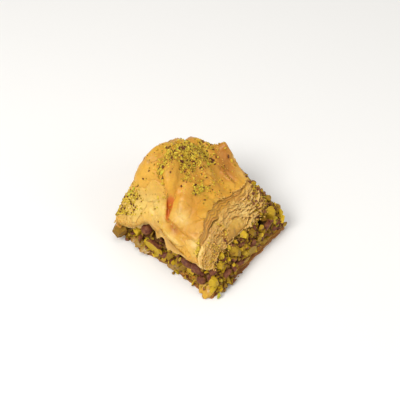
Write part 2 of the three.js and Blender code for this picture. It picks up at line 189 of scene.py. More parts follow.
def crustHeight(p, q):
    puffed = crust["flat"] + sum(swell(p, q, shape) for shape in swells.values())
    left, back, far = crust["rounds"]
    edge = pillow(p, left) * pillow(crust["backEnd"] - p, back) * pillow(1 - q, far)
    rim = between(crust["rim"], hemHeight(q), atEdge(p, 0.3))
    rim = between(rim, crust["foot"], smooth(q, 0.9, 1))
    return between(rim, puffed, edge)


def onCrust(p, q):
    place = ground(p, q)
    height = crustHeight(p, q)
    ear = hump(p, crust["earHalf"]) * hump(1 - q, crust["earHalf"])
    bulge = crust["bulge"] * smooth(q, 0.8, 1) * smooth(height, crust["foot"], crust["flat"])
    place[..., 0] += crust["earReach"][0] * ear + (tuckAt(q) - crust["skirt"]) * atEdge(p, 0.25)
    place[..., 1] += crust["earReach"][1] * ear + bulge
    return raised(place, height)


# The blister at the front end, which ends in a step above the skirt. Places are on the plan square.
lobe = {
    "rise": 1.7,  # how far it stands out over the skirt
    "leftEnd": (0.08, 0.16, 0.3),  # p of its left end, how much that bows, and around which q
    "leftStep": 0.018,
    "backFade": (0.25, 0.55),
    "frontFade": (0.15, 0.26),
    "farEnd": (0.55, 0.6, 0.1),  # q of its far end, how much that slants, and for which p it is
    "farStep": (0.035, 0.17),  # how wide the step is at the left, and how much wider inside
    "farWidens": (0.14, 0.28),
}


# How much the blister stands out, from 0 to 1.
def lobeAt(p, q):
    end, bow, bowAt = lobe["leftEnd"]
    left = end + bow * (q - bowAt) ** 2
    inside = smooth(p, left, left + lobe["leftStep"]) * (1 - smooth(p, *lobe["backFade"]))
    end, slant, slantAt = lobe["farEnd"]
    far = end + slant * (p - slantAt)
    narrow, wider = lobe["farStep"]
    step = narrow + wider * smooth(p, *lobe["farWidens"])
    return inside * (1 - smooth(q, far, far + step)) * smooth(q, *lobe["frontFade"])


cut = {
    "front": 0.12,  # q of the sheets' cut edge at the left face
    "slant": 0.22,  # and how much further back it is at the back face
    "waves": [(31, 0.006), (67, 0.005)],  # how quick they come along p, and how far they reach
}


# The line where the sheets were cut through, as q for each p.
def cutLine(p):
    uneven = sum(reach * np.sin(p * quick) for quick, reach in cut["waves"])
    return cut["front"] + cut["slant"] * p**0.5 + uneven


def topPlace(s, t):
    across = (1 + t) / 2
    notch = crust["notchDeep"] * hump(across - crust["notchAt"], crust["notchHalf"])
    p = (crust["backEdge"] - notch) * (1 + s) / 2
    return p, between(cutLine(p), 1, across)


# How far behind the cut face the stack's foot stands.
def recede(p):
    least, left, right = crust["footRecede"]
    return least + left * smooth(p, 0, 0.2) + right * smooth(p, 0.8, 1)


def onCrustFoot(s, t):
    p = between(0.006, crust["footBack"], (1 + s) / 2)
    q = between(recede(p), 0.992, (1 + t) / 2)
    tuck = tuckAt(q) / plan["wide"] * atEdge(p, 0.3)
    height = between(crust["floor"], hemHeight(q), atEdge(p, 0.07))
    height = between(height, crust["foot"], smooth(q, 0.93, 0.99))
    return raised(ground(p + tuck, q), height)


filling = {
    "low": 3.35,
    "top": 15.0,
    "rightDrop": 2.8,  # how far its top comes down at the right corner
    "shoulderDrop": 2.4,  # and along the cut face
    "edgeInset": 0.012,
    "cutLean": 0.05,
    "leanFrom": 6,  # the height where the cut face starts to lean back
    "skirtInset": 0.034,
    "skirtStart": (5.5, 9.5),
}


def fillingTop(p, q):
    rightCorner = smooth(p, 0.6, 1) * (1 - smooth(q, 0.05, 0.4))
    shoulder = atEdge(q, 0.07)
    return filling["top"] - filling["rightDrop"] * rightCorner - filling["shoulderDrop"] * shoulder


# A point of the filling's sides or inside, from its foot, level 0, to its top, level 1.
def onFilling(s, t, level):
    p = (1 + s) / 2
    q = (1 + t) / 2
    height = between(filling["low"], fillingTop(p, q), level)
    behindSkirt = smooth(height, *filling["skirtStart"])
    farInset = filling["edgeInset"] + filling["skirtInset"] * behindSkirt
    leftInset = farInset + behindSkirt * tuckAt(q) / plan["wide"]
    lean = filling["cutLean"] * smooth(height, filling["leanFrom"], filling["top"])
    p = between(leftInset, 1 - filling["edgeInset"], p)
    q = between(filling["edgeInset"] + lean, 1 - farInset, q)
    return raised(ground(p, q), height)


# Soft unevenness from -1 to 1 at points in space, with lumps of the given size.
def field(points, size, seed):
    shift = Vector((seed * 3.7, seed * 1.9, seed * 5.3))
    flat = (points.reshape(-1, 3) / size).tolist()
    return np.array([noise.noise(Vector(point) + shift) for point in flat]).reshape(points.shape[:-1])


# The sum of fields from pairs of a size and a height, their seeds the given step apart.
def waves(points, sizes, seed, step=1):
    return sum(rise * field(points, size, seed + step * index) for index, (size, rise) in enumerate(sizes))


def outwardOf(points):
    away = points[..., :2] - np.array(plan["middle"][:2])
    away /= np.linalg.norm(away, axis=-1, keepdims=True) + 1e-6
    return raised(away, 0.0)


# Moves the points of a grid along the grid's own normals.
def pushOut(points, height):
    out = np.cross(np.gradient(points, axis=1), np.gradient(points, axis=0))
    out /= np.linalg.norm(out, axis=-1, keepdims=True) + 1e-9
    return points + out * height[..., None]


# From the plan's millimetres to the part's own metres, and back.
def toPart(points):
    return (np.asarray(points, float) - np.array(plan["middle"])) * mm


def fromPart(points):
    return np.array(points) / mm + np.array(plan["middle"])


class Wire:
    # a value in a material: using it in an expression adds the maths nodes
    def __init__(self, tree, socket=None):
        self.tree = tree
        self.socket = socket

    # any node, from its type, its settings and what goes into its sockets
    def make(self, kind, settings=None, inputs=None, output=0):
        node = self.tree.nodes.new(kind)
        for name, value in (settings or {}).items():
            if name == "stops":
                setStops(node.color_ramp, value)
            else:
                setattr(node, name, value)
        for name, value in (inputs or {}).items():
            if isinstance(value, Wire):
                self.tree.links.new(value.socket, node.inputs[name])
            else:
                node.inputs[name].default_value = value
        return Wire(self.tree, node.outputs[output] if len(node.outputs) else None)

    def maths(self, operation, first, second=0.0):
        return self.make("ShaderNodeMath", {"operation": operation}, {0: first, 1: second})

    def __add__(self, other):
        return self.maths("ADD", self, other)

    __radd__ = __add__

    def __sub__(self, other):
        return self.maths("SUBTRACT", self, other)

    def __rsub__(self, other):
        return self.maths("SUBTRACT", other, self)

    def __mul__(self, other):
        return self.maths("MULTIPLY", self, other)

    __rmul__ = __mul__


def setStops(ramp, stops):
    while len(ramp.elements) < len(stops):
        ramp.elements.new(1.0)
    for element, (place, shade) in zip(ramp.elements, stops):
        element.position = place
        element.color = shade


# One part of a screen colour as Blender's linear value.
def linear(part):
    return part / 12.92 if part < 0.04045 else ((part + 0.055) / 1.055) ** 2.4


# A screen colour such as "d9a34b" in Blender's linear values.
def colour(code):
    return (*(linear(int(code[i:i + 2], 16) / 255) for i in (0, 2, 4)), 1.0)


def attribute(wire, name):
    return wire.make("ShaderNodeAttribute", {"attribute_name": name}, output="Fac")


def grain(wire, spot, size, detail=3.0, rough=0.55, warp=0.0):
    inputs = {"Vector": spot, "Scale": 1 / (size * mm), "Detail": detail}
    return wire.make("ShaderNodeTexNoise", inputs=inputs | {"Roughness": rough, "Distortion": warp})


# Goes smoothly from 0 to 1 as the value goes from low to high.
def ramped(wire, value, low, high):
    inputs = {"Value": value, "From Min": low, "From Max": high}
    return wire.make("ShaderNodeMapRange", {"interpolation_type": "SMOOTHSTEP"}, inputs)


def tinted(wire, part, first, second, way="MIX"):
    settings = {"data_type": "RGBA", "blend_type": way}
    return wire.make("ShaderNodeMix", settings, {0: part, 6: first, 7: second}, 2)


# Lays a look's colours over its first one, each through a mask of its own.
def layered(wire, look, first, masks):
    shade = colour(look[first])
    for name, mask in masks.items():
        shade = tinted(wire, mask, shade, colour(look[name]))
    return shade


# The colour that a value has on a ramp of places and colours.
def onRamp(wire, value, stops):
    stops = [(place, colour(code)) for place, code in stops]
    return wire.make("ShaderNodeValToRGB", {"stops": stops}, {"Fac": value})


def bumped(wire, height, strength, distance):
    inputs = {"Height": height, "Strength": strength, "Distance": distance * mm}
    return wire.make("ShaderNodeBump", inputs=inputs, output="Normal")


def newMaterial(name):
    material = bpy.data.materials.new(name)
    material.use_nodes = True
    material.node_tree.nodes.clear()
    wire = Wire(material.node_tree)
    spot = wire.make("ShaderNodeTexCoord", output="Object")
    return material, wire, spot


def closeMaterial(wire, finish, sockets):
    shader = wire.make("ShaderNodeBsdfPrincipled", inputs=finish | sockets)
    wire.make("ShaderNodeOutputMaterial", inputs={"Surface": shader})


pastryLook = {
    "golden": "e3a634",
    "deeper": "d4912a",
    "pale": "eec568",
    "toasted": "b46e24",
    "stain": "cc5e14",
    "edge": "d9a457",
    # gap: painted shade, the dark brown laid between sheets and under the edges of those above
    "gap": "8a5a24",
    "dust": "c8942e",
    "mottle": [(0.3, "a4a09a"), (0.7, "ffffff")],
    "cloudSize": 9,  # sizes in mm
    "streakSize": 2.2,
    "speckSize": 0.55,
    "roughness": 0.44,
    "coat": 0.1,
    "blisterBump": 0.2,
    "finish": {
        "Specular IOR Level": 0.35,
        "Coat Roughness": 0.25,
        "Subsurface Weight": 0.18,
        "Subsurface Radius": (1.0, 0.5, 0.2),
        "Subsurface Scale": 0.9 * mm,
    },
}

# The layers that show at the cut face are paler: the inner sheets are less baked, and the colours are
# lifted further as painted light where the cut face lies in shade.
layersLook = {**pastryLook, "pale": "fcd480", "golden": "e4ac40", "edge": "dcaa60"}


# Baked pastry: golden with deeper clouds, and the named tones painted on each sheet.
def makePastry(name, look):
    material, wire, spot = newMaterial(name)
    clouds = ramped(wire, grain(wire, spot, look["cloudSize"], 4), 0.38, 0.68)
    streaks = grain(wire, spot, look["streakSize"], 5, 0.6, 0.6)
    specks = grain(wire, spot, look["speckSize"], 2, 0.6)
    stain = ramped(wire, attribute(wire, "stain") + (streaks - 0.5) * 0.3, 0.25, 0.75)
    dusted = ramped(wire, attribute(wire, "dust") * (specks + 0.45), 0.25, 0.75)
    shade = layered(wire, look, "golden", {
        "deeper": clouds,
        "pale": attribute(wire, "pale") * 0.9,
        "toasted": ramped(wire, attribute(wire, "toast") + (streaks - 0.5) * 0.5, 0.1, 1.0),
        "edge": attribute(wire, "edge") * 0.75,
        # painted shade between the sheets and under the edges of those above
        "gap": attribute(wire, "gap") * 0.8,
        "stain": stain * 0.85,
        "dust": dusted * 0.75,
    })
    closeMaterial(wire, look["finish"], {
        "Base Color": tinted(wire, 0.3, shade, onRamp(wire, streaks, look["mottle"]), "MULTIPLY"),
        "Roughness": streaks * 0.25 + (look["roughness"] - 0.12) + dusted * 0.3,
        "Coat Weight": (1 - dusted) * look["coat"],
        "Normal": bumped(wire, streaks * 0.6 + specks * (0.25 + dusted), look["blisterBump"], 0.5),
    })
    return material


nutLook = {
    "flesh": [(0.05, "8a6416"), (0.38, "ac881a"), (0.66, "cca81e"), (0.8, "cca81e"), (0.95, "a6a62a")],
    "skin": "643022",
    "skinPale": "8a5630",
    "mottleSize": 1.3,
    "fineSize": 0.35,
    "roughness": 0.6,
    "finish": {
        "Specular IOR Level": 0.25,
        "Coat Weight": 0.06,
        "Coat Roughness": 0.2,
        "Subsurface Weight": 0.12,
        "Subsurface Radius": (0.8, 0.8, 0.3),
        "Subsurface Scale": 0.6 * mm,
    },
}

groundLook = {
    **nutLook,
    "flesh": [(0.05, "8c6a1c"), (0.38, "be9a28"), (0.66, "e0c240"), (0.8, "e0c240"), (0.95, "a8b028")],
    "skin": "5c2c18",
    "skinPale": "7c4c24",
    "finish": {**nutLook["finish"], "Coat Weight": 0.05},
}


# Pistachio: yellow-green where it was chopped through, purple-brown where it has its skin.
def makePistachio(name, look):
    material, wire, spot = newMaterial(name)
    mottle = grain(wire, spot, look["mottleSize"], 4, 0.6)
    fine = grain(wire, spot, look["fineSize"], 2, 0.6)
    tint = attribute(wire, "tint") * 0.8 + (mottle - 0.5) * 0.5 + 0.05
    skin = layered(wire, look, "skin", {"skinPale": ramped(wire, mottle, 0.35, 0.7)})
    patchy = ramped(wire, attribute(wire, "skin") + (mottle - 0.5) * 0.9, 0.3, 0.7)
    closeMaterial(wire, look["finish"], {
        "Base Color": tinted(wire, patchy, onRamp(wire, tint, look["flesh"]), skin),
        "Roughness": fine * 0.25 + (look["roughness"] - 0.1),
        "Normal": bumped(wire, mottle * 0.8 + fine * 0.5, 0.45, 0.5),
    })
    return material


coreLook = {
    "dark": "4a2c14",
    "brown": "845428",
    "olive": "9c7834",
    # gap: near black painted shade for the pit in the cut face
    "gap": "1c1204",
    "lumpSize": 1.6,
    "fineSize": 0.4,
    "finish": {"Specular IOR Level": 0.2},
}


# What lies between the kernels: syrup, skins and fine crumbs, dark and sticky.
def makeSyrupyCrumb(name, look):
    material, wire, spot = newMaterial(name)
    lumps = grain(wire, spot, look["lumpSize"], 5, 0.65)
    fine = grain(wire, spot, look["fineSize"], 3, 0.6)
    closeMaterial(wire, look["finish"], {
        "Base Color": layered(wire, look, "dark", {
            "brown": ramped(wire, lumps, 0.35, 0.65),
            "olive": ramped(wire, fine, 0.5, 0.7),
            # painted shade in the pit
            "gap": ramped(wire, attribute(wire, "gap"), 0.2, 0.7),
        }),
        "Roughness": fine * 0.3 + 0.55,
        "Normal": bumped(wire, lumps + fine * 0.6, 0.6, 0.8),
    })
    return material


soakedLook = {
    "amber": "b07844",
    "brown": "9a6240",
    "pale": "d8a02c",
    "dry": "a88438",
    "cloudSize": 5,
    "streakSize": 1.0,
    "finish": {
        "Specular IOR Level": 0.35,
        "Coat Weight": 0.25,
        "Coat Roughness": 0.15,
        "Subsurface Weight": 0.3,
        "Subsurface Radius": (1.0, 0.45, 0.15),
        "Subsurface Scale": 1.2 * mm,
    },
}


# Sheets soaked in syrup: translucent amber, brown where they caught, and glossy.
def makeSoakedPastry(name, look):
    material, wire, spot = newMaterial(name)
    streaks = grain(wire, spot, look["streakSize"], 4, 0.6, 0.4)
    closeMaterial(wire, look["finish"], {
        "Base Color": layered(wire, look, "amber", {
            "brown": ramped(wire, grain(wire, spot, look["cloudSize"], 4), 0.35, 0.65),
            "pale": attribute(wire, "pale"),
            "dry": attribute(wire, "dry"),
        }),
        "Roughness": streaks * 0.3 + 0.3,
        "Normal": bumped(wire, streaks, 0.35, 0.5),
    })
    return material


# Gives a piece its material and body, and hides the solid that it stands for.
def finishPiece(piece, material, slot, node):
    piece.data.materials.append(material)
    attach(piece, "root")
    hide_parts(node)
    return piece


def newPiece(name, mesh):
    piece = bpy.data.objects.new(name, mesh)
    bpy.context.scene.collection.objects.link(piece)
    return piece


def paint(mesh, tones, domain):
    for name, values in tones.items():
        layer = mesh.attributes.new(name, "FLOAT", domain)
        layer.data.foreach_set("value", np.asarray(values, np.float32).ravel())


def meshFrom(made, name):
    mesh = bpy.data.meshes.new(name)
    made.to_mesh(mesh)
    made.free()
    return mesh


def pointsOf(mesh):
    flat = np.empty(len(mesh.vertices) * 3)
    mesh.vertices.foreach_get("co", flat)
    return flat.reshape(-1, 3)


# Puts a mesh's points in their places and paints tones on them.
def shapeMesh(mesh, points, tones):
    mesh.vertices.foreach_set("co", toPart(points).ravel())
    paint(mesh, tones, "POINT")
    mesh.shade_smooth()


# A thickness underneath, or inwards.
def thicken(piece, thick):
    wall = piece.modifiers.new("thickness", "SOLIDIFY")
    wall.thickness = thick * mm
    wall.offset = -1
    return piece


# A sheet of pastry: a grid whose points a form places by the values given, and a thickness underneath.
def makeSheet(name, sheet, finish, form, *values):
    columns, rows = sheet["grid"]
    made = bmesh.new()
    bmesh.ops.create_grid(made, x_segments=columns, y_segments=rows, size=1)
    mesh = meshFrom(made, name)
    flat = pointsOf(mesh).reshape(rows + 1, columns + 1, 3)
    shapeMesh(mesh, *form(flat[..., 0], flat[..., 1], *values))
    return finishPiece(thicken(newPiece(name, mesh), sheet["thick"]), *finish)


topSheet = {
    "grid": (220, 200),  # columns and rows
    "thick": 0.2,
    "waves": [(11, 0.5), (4.2, 0.38), (1.9, 0.17), (0.9, 0.05)],  # size and height, mm
    "ragged": 0.5,  # how uneven its edges are: in all, and along the cut and the back edge
    "cutRagged": [(4.5, 0.9), (1.3, 0.5)],
    "backRagged": [(1.9, 1.0), (0.7, 0.6)],
    "curl": (2.6, 0.35),  # how much edges turn up or down: size and height
    "stepBack": (0.38, 0.3, 0.1),  # how far the uppermost sheet ends behind the cut line
    # from and to on the plan square, half width and height in mm
    "creases": [
        ((0.21, 0.65), (0.08, 0.54), 0.95, -1.2),
        ((0.11, 0.5), (0.09, 0.4), 1.3, -0.8),
        ((0.75, 0.54), (0.75, 0.39), 0.35, 0.4),
        ((0.79, 0.52), (0.78, 0.38), 0.8, -0.8),
        ((0.9, 0.56), (0.9, 0.5), 0.6, -0.2),
        ((0.3, 0.62), (0.55, 0.56), 1.6, -0.5),
        ((0.17, 0.93), (0.32, 0.72), 1.2, 0.35),
        ((0.55, 0.98), (0.62, 0.68), 1.4, -0.4),
        ((0.07, 0.79), (0.17, 0.64), 0.45, 0.4),
        ((0.05, 0.76), (0.13, 0.62), 0.4, -0.3),
        ((0.022, 0.55), (0.018, 0.36), 0.3, 0.6),
        ((0.04, 0.76), (0.02, 0.66), 0.5, 0.3),
    ],
    "dive": 1.4,  # how far the sheets under it keep away from it, except at the edges
    "ridges": [(9.0, 0.12, 0.1), (5.0, 0.12, 0.1)],  # wrinkles: spacing, height and width
    "hemWaves": [(10.0, 2.6), (3.0, 1.6), (1.1, 0.5)],  # how uneven the far hem hangs: size and height
    "farFolds": [(6.0, 1.0), (2.6, 0.45)],  # upright folds of the far face: size and depth
}

nested = {
    "grid": (130, 120),
    "thick": 0.2,
    # sheets just under the uppermost one: depth below it, and how much of its step back they share
    "sheets": [(0.4, 0.76), (0.75, 0.54), (1.1, 0.32), (1.5, 0.1)],
    "toast": (0.28, 0.6, 5),  # tones: usual, how uneven, and size
    "pale": (0.1, 0.7, 7),
    # the painted shadow that the sheet above casts along its edge
    "gap": 0.35,  # how dark they are under the edge of the one above
}

# What colours the top sheet: middle, half sizes and turn on the plan square, and strength.
tones = {
    "toast": [
        (0.92, 0.62, 0.13, 0.13, 0, 0.62),
        (0.79, 0.5, 0.1, 0.16, 0, 0.6),
        (0.07, 0.475, 0.025, 0.06, 0, 0.8),
        (0.5, 0.55, 0.3, 0.08, 0, 0.04),
        (0.3, 0.99, 0.12, 0.04, 0, 0.45),
        (0.75, 0.97, 0.14, 0.05, 0, 0.5),
        (0.5, 0.92, 0.1, 0.03, 0, 0.3),
    ],
    "pale": [
        (0.06, 0.72, 0.07, 0.12, 0, 0.95),
        (0.15, 0.45, 0.05, 0.09, 0, 0.9),
        (0.02, 0.45, 0.012, 0.1, 0, 0.8),
        (0.08, 0.25, 0.03, 0.05, 0, 0.7),
        (0.25, 0.86, 0.1, 0.08, 0, 0.15),
        (0.05, 0.92, 0.08, 0.1, 0, 0.9),
        (0.9, 0.43, 0.05, 0.09, 0, 0.5),
    ],
    "stain": [
        (0.18, 0.605, 0.055, 0.04, 0, 1.2),
        (0.125, 0.575, 0.045, 0.03, 0, 1.0),
    ],
    "dust": [
        (0.5, 0.72, 0.26, 0.13, 0, 1.0),
        (0.42, 0.5, 0.14, 0.05, 0, 0.5),
        (0.08, 0.92, 0.06, 0.07, 0, 0.15),
        (0.35, 0.45, 0.12, 0.12, 0, 0.15),
    ],
}


def toneAt(name, p, q):
    total = sum(swell(p, q, patch + (2,)) for patch in tones[name])
    return capped(total)


def creaseHeight(place, crease):
    start, end, half, height = crease
    start = ground(*start)
    along = ground(*end) - start
    part = capped(((place - start) @ along) / (along @ along))
    gap = np.linalg.norm(place - start - part[..., None] * along, axis=-1)
    taper = np.sqrt(capped(4 * part * (1 - part)))
    return height * hump(gap, half) * taper


# Waves, fine wrinkles and creases of the top, and the step of its front blister.
def topRelief(smoothPlace, p, q):
    height = lobe["rise"] * lobeAt(p, q) + waves(smoothPlace, topSheet["waves"], 20)
    for index, (size, rise, width) in enumerate(topSheet["ridges"]):
        height = height - rise * np.exp(-np.abs(field(smoothPlace, size, 30 + index)) / width)
    for crease in topSheet["creases"]:
        height = height + creaseHeight(ground(p, q), crease)
    upright = pointsAt(p * plan["wide"], 0, smoothPlace[..., 2] / 4)
    return height + waves(upright, topSheet["farFolds"], 40, 0) * smooth(q, 0.93, 0.99)


# How uneven a flake's outline is in a direction from its middle.
def flakeUneven(way, seed):
    return 1 + waves(way, flakes["uneven"], seed)


# How far out places are on a flake, 1 being its rim.
def flakeReach(patch, seed, p, q):
    a, b = awayFrom(patch, p, q)
    far = np.hypot(a, b)
    near = (far < 1.7) & (far > 0.3)
    reach = np.where(far < 1, 0.0, 9.0)
    way = pointsAt(a[near] / far[near], b[near] / far[near], seed)
    reach[near] = far[near] / flakeUneven(way, seed)
    return reach


# The shade along the rims of the flakes that lie on a sheet.
def rimShade(p, q):
    shade = np.zeros_like(p)
    for index, patch in enumerate(flakes["patches"]):
        reach = flakeReach(patch, flakes["seed"] + 3 * index, p, q)
        shade = np.maximum(shade, flakes["shade"] * hump(reach - 1.03, 0.06))
    return shade


# How close grid places are to the cut edge or the back edge: 1 on it, and less past the given depth.
def nearEdges(s, t, depth):
    return np.maximum(hump(1 + t, depth), hump(1 - s, depth))


# A sheet of the top: the uppermost one for seed 0, or one that lies close under it.
def nestedForm(s, t, depth, stepShare, seed):
    p, q = topPlace(s, t)
    ragged = topSheet["ragged"] / plan["long"]
    at, half, back = topSheet["stepBack"]
    stepBack = back * hump(p - at, half)
    alongCut = pointsAt(p * plan["wide"], 3.0 + seed, 0)
    alongBack = pointsAt(7.0 + seed, q * plan["long"], 0)
    q = q + ragged * waves(alongCut, topSheet["cutRagged"], 4) * hump(1 + t, 0.06)
    q = q + stepShare * stepBack * (1 - t) / 2
    underEdge = q - cutLine(p) - (stepShare + 0.23) * stepBack
    p = p + ragged * waves(alongBack, topSheet["backRagged"], 6) * hump(1 - s, 0.06)
    smoothPlace = onCrust(p, q)
    inside = smooth(1 + t, 0.14, 0.35) * smooth(1 - s, 0.12, 0.35) if seed else 0
    height = topRelief(smoothPlace, p, q) - depth - topSheet["dive"] * inside
    size, rise = topSheet["curl"]
    curl = rise * field(smoothPlace + seed * 13.1, size, 8) * nearEdges(s, t, 0.08)
    points = pushOut(smoothPlace, height + curl)
    hang = 0.5 * field(alongBack, 1.5, 9) - 0.6 * depth * np.abs(field(alongBack, 6, 10))
    points[..., 2] += hang * hump(p, 0.012)
    uneven = waves(alongCut * (1, 0.4, 1), topSheet["hemWaves"], 12, 0)
    points[..., 2] += (uneven - 0.5 * depth) * hump(1 - q, 0.014)
    shades = {name: toneAt(name, p, q) * (name != "dust" or seed == 0) for name in tones}
    shades["edge"] = nearEdges(s, t, 0.014)
    if seed == 0:
        shades["gap"] = rimShade(p, q)
        return points, shades
    for tone, firstSeed in (("toast", 11), ("pale", 17)):
        usual, uneven, size = nested[tone]
        shades[tone] = capped(usual + uneven * field(alongCut, size, firstSeed + seed))
    # painted shadow of the sheet above, along its edge
    shades["gap"] = nested["gap"] * hump(underEdge, 0.009)
    return points, shades


stack = {
    "sheets": 14,
    "highest": 0.9,  # where the last of them lies, the top sheet being at 1
    "grid": (110, 84),
    "thick": 0.18,
    "uneven": 0.6,  # how much the spacing varies, as a share of it
    "shared": (8.0, 1.3),  # size and height of the waves that all sheets follow
    "own": [(6.0, 0.7), (2.2, 0.26)],  # and of each sheet's own
    "dive": 2.4,  # how far the sheets keep below the top one, away from the cut edges
    "tuckIn": 1.6,  # and in from the left and far faces
    "lip": 1.0,  # how far the edges stand out and in
    "curl": 0.55,  # how far an edge turns up or down
    "footSag": 2.6,  # how far bits of the lowest sheets hang down over the nuts
    # along the cut face, up the stack, and half sizes
    "cream": (0.7, 0.38, 0.2, 0.25),
    "pocket": (0.465, 0.27, 0.155, 0.25),
    # near the left face the sheets are painted paler and get less painted shade: partly their own paler
    # tip, partly painted light where that end of the cut face lies in shade
    "leftPale": 0.45,  # how far from the left face the sheets are paler
    "pocketClear": 1.6,  # how far the torn edges keep behind the blister
    "seed": 3,
}


# A point of the stack's sides or inside, from its foot, share 0, to the top sheet, share 1.
def onStack(s, t, share):
    return between(onCrustFoot(s, t), onCrust(*topPlace(s, t)), np.asarray(share, float)[..., None])


def wallTone(patch, s, share):
    at, up, along, tall = patch
    return hump((1 + s) / 2 - at, along) * hump(share - up, tall)


# Brings a grid's lines closer together towards its rim.
def finerRim(s, t):
    return np.sin(s * np.pi / 2), np.sin(t * np.pi / 2)


# A torn sheet inside the stack, which shows as a layer at the cut and back faces.
def innerForm(s, t, share, seed, reachOut, paleness):
    s, t = finerRim(s, t)
    points = onStack(s, t, share)
    out = outwardOf(points)
    drift = points + np.array([0, 0, seed * 9.7])
    spread = np.sqrt(capped(4 * share * (1 - share)))
    size, rise = stack["shared"]
    points[..., 2] += spread * rise * field(points * (1, 1, 0.3), size, 33)
    points[..., 2] += spread * waves(drift, stack["own"], seed)
    away = smooth(1 + t, 0.05, 0.3) * smooth(1 - s, 0.05, 0.3)
    points[..., 2] -= stack["dive"] * share * away
    points[..., 0] += stack["tuckIn"] * away * atEdge(1 + s, 0.3)
    points[..., 1] -= stack["tuckIn"] * away * smooth(t, 0.8, 1)
    toEdge = nearEdges(s, t, 0.08)
    points[..., 2] += stack["curl"] * toEdge * field(drift, 2.0, seed + 5)
    low = (1 - share) ** 4
    points[..., 2] -= low * stack["footSag"] * toEdge * np.maximum(field(drift, 2.6, seed + 4), 0)
    ragged = reachOut + waves(drift, [(6 - 3 * low, 0.7 + low), (1.3, 0.35)], seed + 2)
    ragged -= stack["pocketClear"] * wallTone(stack["pocket"], s, share) * hump(1 + t, 0.08)
    points = points + out * (stack["lip"] * ragged * toEdge)[..., None]
    rim = nearEdges(s, t, 0.02)
    # paler towards the left face, partly painted light on the shaded end of the cut face
    atLeft = hump(1 + s, stack["leftPale"])
    creamy = 0.7 * wallTone(stack["cream"], s, share) + 0.7 * atLeft
    return points, {
        "edge": 0.7 * rim,
        # gap: painted shade between the layers near their edges, left off the edges themselves and the left
        # end
        "gap": 0.3 * toEdge * (1 - rim) * (1 - atLeft),
        "pale": capped(paleness + 0.3 * field(drift, 5, 44) + creamy),
        "toast": capped(0.35 * smooth(share, 0.62, 0.9) + 0.3 * field(drift, 7, 45)),
    }


def makeCrust(pastry, layers):
    finish = (pastry, "crisp_pastry", "puffed_crust")
    top = makeSheet("top_sheet", topSheet, finish, nestedForm, 0, 1, 0)
    for index, (depth, stepShare) in enumerate(nested["sheets"], 1):
        makeSheet(f"upper_sheet_{index}", nested, finish, nestedForm, depth, stepShare, index)
    makeSheet("pocket_sheet", pocket, finish, pocketForm)
    makeSheet("hanging_sheet", hanging, finish, hangingForm)
    draw = np.random.default_rng(stack["seed"])
    for index in range(stack["sheets"]):
        share = stack["highest"] * (index + 0.3 + stack["uneven"] * draw.uniform(-1, 1)) / stack["sheets"]
        reachOut = draw.uniform(-0.35, 0.35)
        paleness = draw.uniform(0.25, 0.95) - 0.4 * share
        values = (share, 10 + 6 * index, reachOut, paleness)
        makeSheet(f"inner_sheet_{index + 1:02d}", stack, (layers, *finish[1:]), innerForm, *values)
    return top


pocket = {
    "grid": (40, 26),
    "thick": 0.1,
    "bulge": 2.0,
    "sink": 0.55,  # the share of the bulge by which its rim lies inside
    "way": (-0.1, -0.8, 0.5),  # where it bulges to
    "wrinkles": [(3.0, 0.5), (1.4, 0.3)],
}


# A smooth blister of one sheet between the ragged edges of the cut face, with painted light on one side and
# painted shade on the other.
def pocketForm(s, t):
    at, up, along, tall = stack["pocket"]
    points = onStack(2 * (at + s * along) - 1, -np.ones_like(s), capped(up + t * tall))
    dome = np.sqrt(capped(1 - s**4)) * np.sqrt(capped(1 - np.abs(t) ** 3))
    wrinkles = waves(points, pocket["wrinkles"], 63)
    bulge = pocket["bulge"] * (dome - pocket["sink"]) * (1 + wrinkles) + 0.5 * field(points, 1.8, 65)
    return points + np.array(pocket["way"]) * bulge[..., None], {
        # pale and gap: painted light towards one side of the blister and painted shade towards the other,
        # broken up by its wrinkles
        "pale": capped(0.15 + 0.5 * smooth(s + 0.6 * t, -0.2, 1.2) + 0.3 * wrinkles),
        "gap": capped(0.8 - 0.65 * smooth(s + 0.3 * t, -1.1, 0.7) + 0.4 * wrinkles),
        "edge": smooth(np.abs(t), 0.85, 1) * 0.4,
    }


hanging = {
    "grid": (60, 20),
    "thick": 0.12,
    "along": (0.28, 0.72),  # from and to along the left face
    # how far it hangs below the hem: places along, half widths and heights
    "drops": [(0.48, 0.035, 4.6), (0.41, 0.045, 2.2), (0.6, 0.055, 4.2)],
    "uneven": [(3.0, 0.3), (1.0, 0.2)],
    "above": 1.5,  # how far its upper edge lies over the hem
    "least": 0.3,  # and its lower edge where it doesn't hang down
    "behind": 0.35,  # how far it lies behind the hem
    "lean": 0.5,  # and how far it stands out at its lower edge
}


# A thin sheet that came loose under the hem: a wedge that hangs down over the nuts, with the hem's shadow
# painted along its upper part.
def hangingForm(s, t):
    q = between(*hanging["along"], (1 + s) / 2)
    drop = sum(deep * hump(q - at, half) for at, half, deep in hanging["drops"])
    uneven = 1 + waves(pointsAt(q * plan["long"], 0, 0), hanging["uneven"], 73)
    low = hemHeight(q) + hanging["least"] - drop * uneven
    height = between(low, hemHeight(q) + hanging["above"], (1 + t) / 2)
    points = raised(ground(0 * q, q), height)
    points[..., 0] += tuckAt(q) - crust["skirt"] + hanging["behind"] + 0.3 * field(points, 2.4, 72)
    points[..., 0] -= hanging["lean"] * (1 - t) / 2 * drop / 4
    rim = hump(1 + t, 0.14)
    under = smooth(t, -0.5, 0.8)
    # gap: painted shadow of the hem, darkest along the upper edge
    return points, {"pale": 0.3 + 0.4 * rim, "edge": rim, "gap": 0.5 * under, "toast": 0.15 * (1 - rim)}


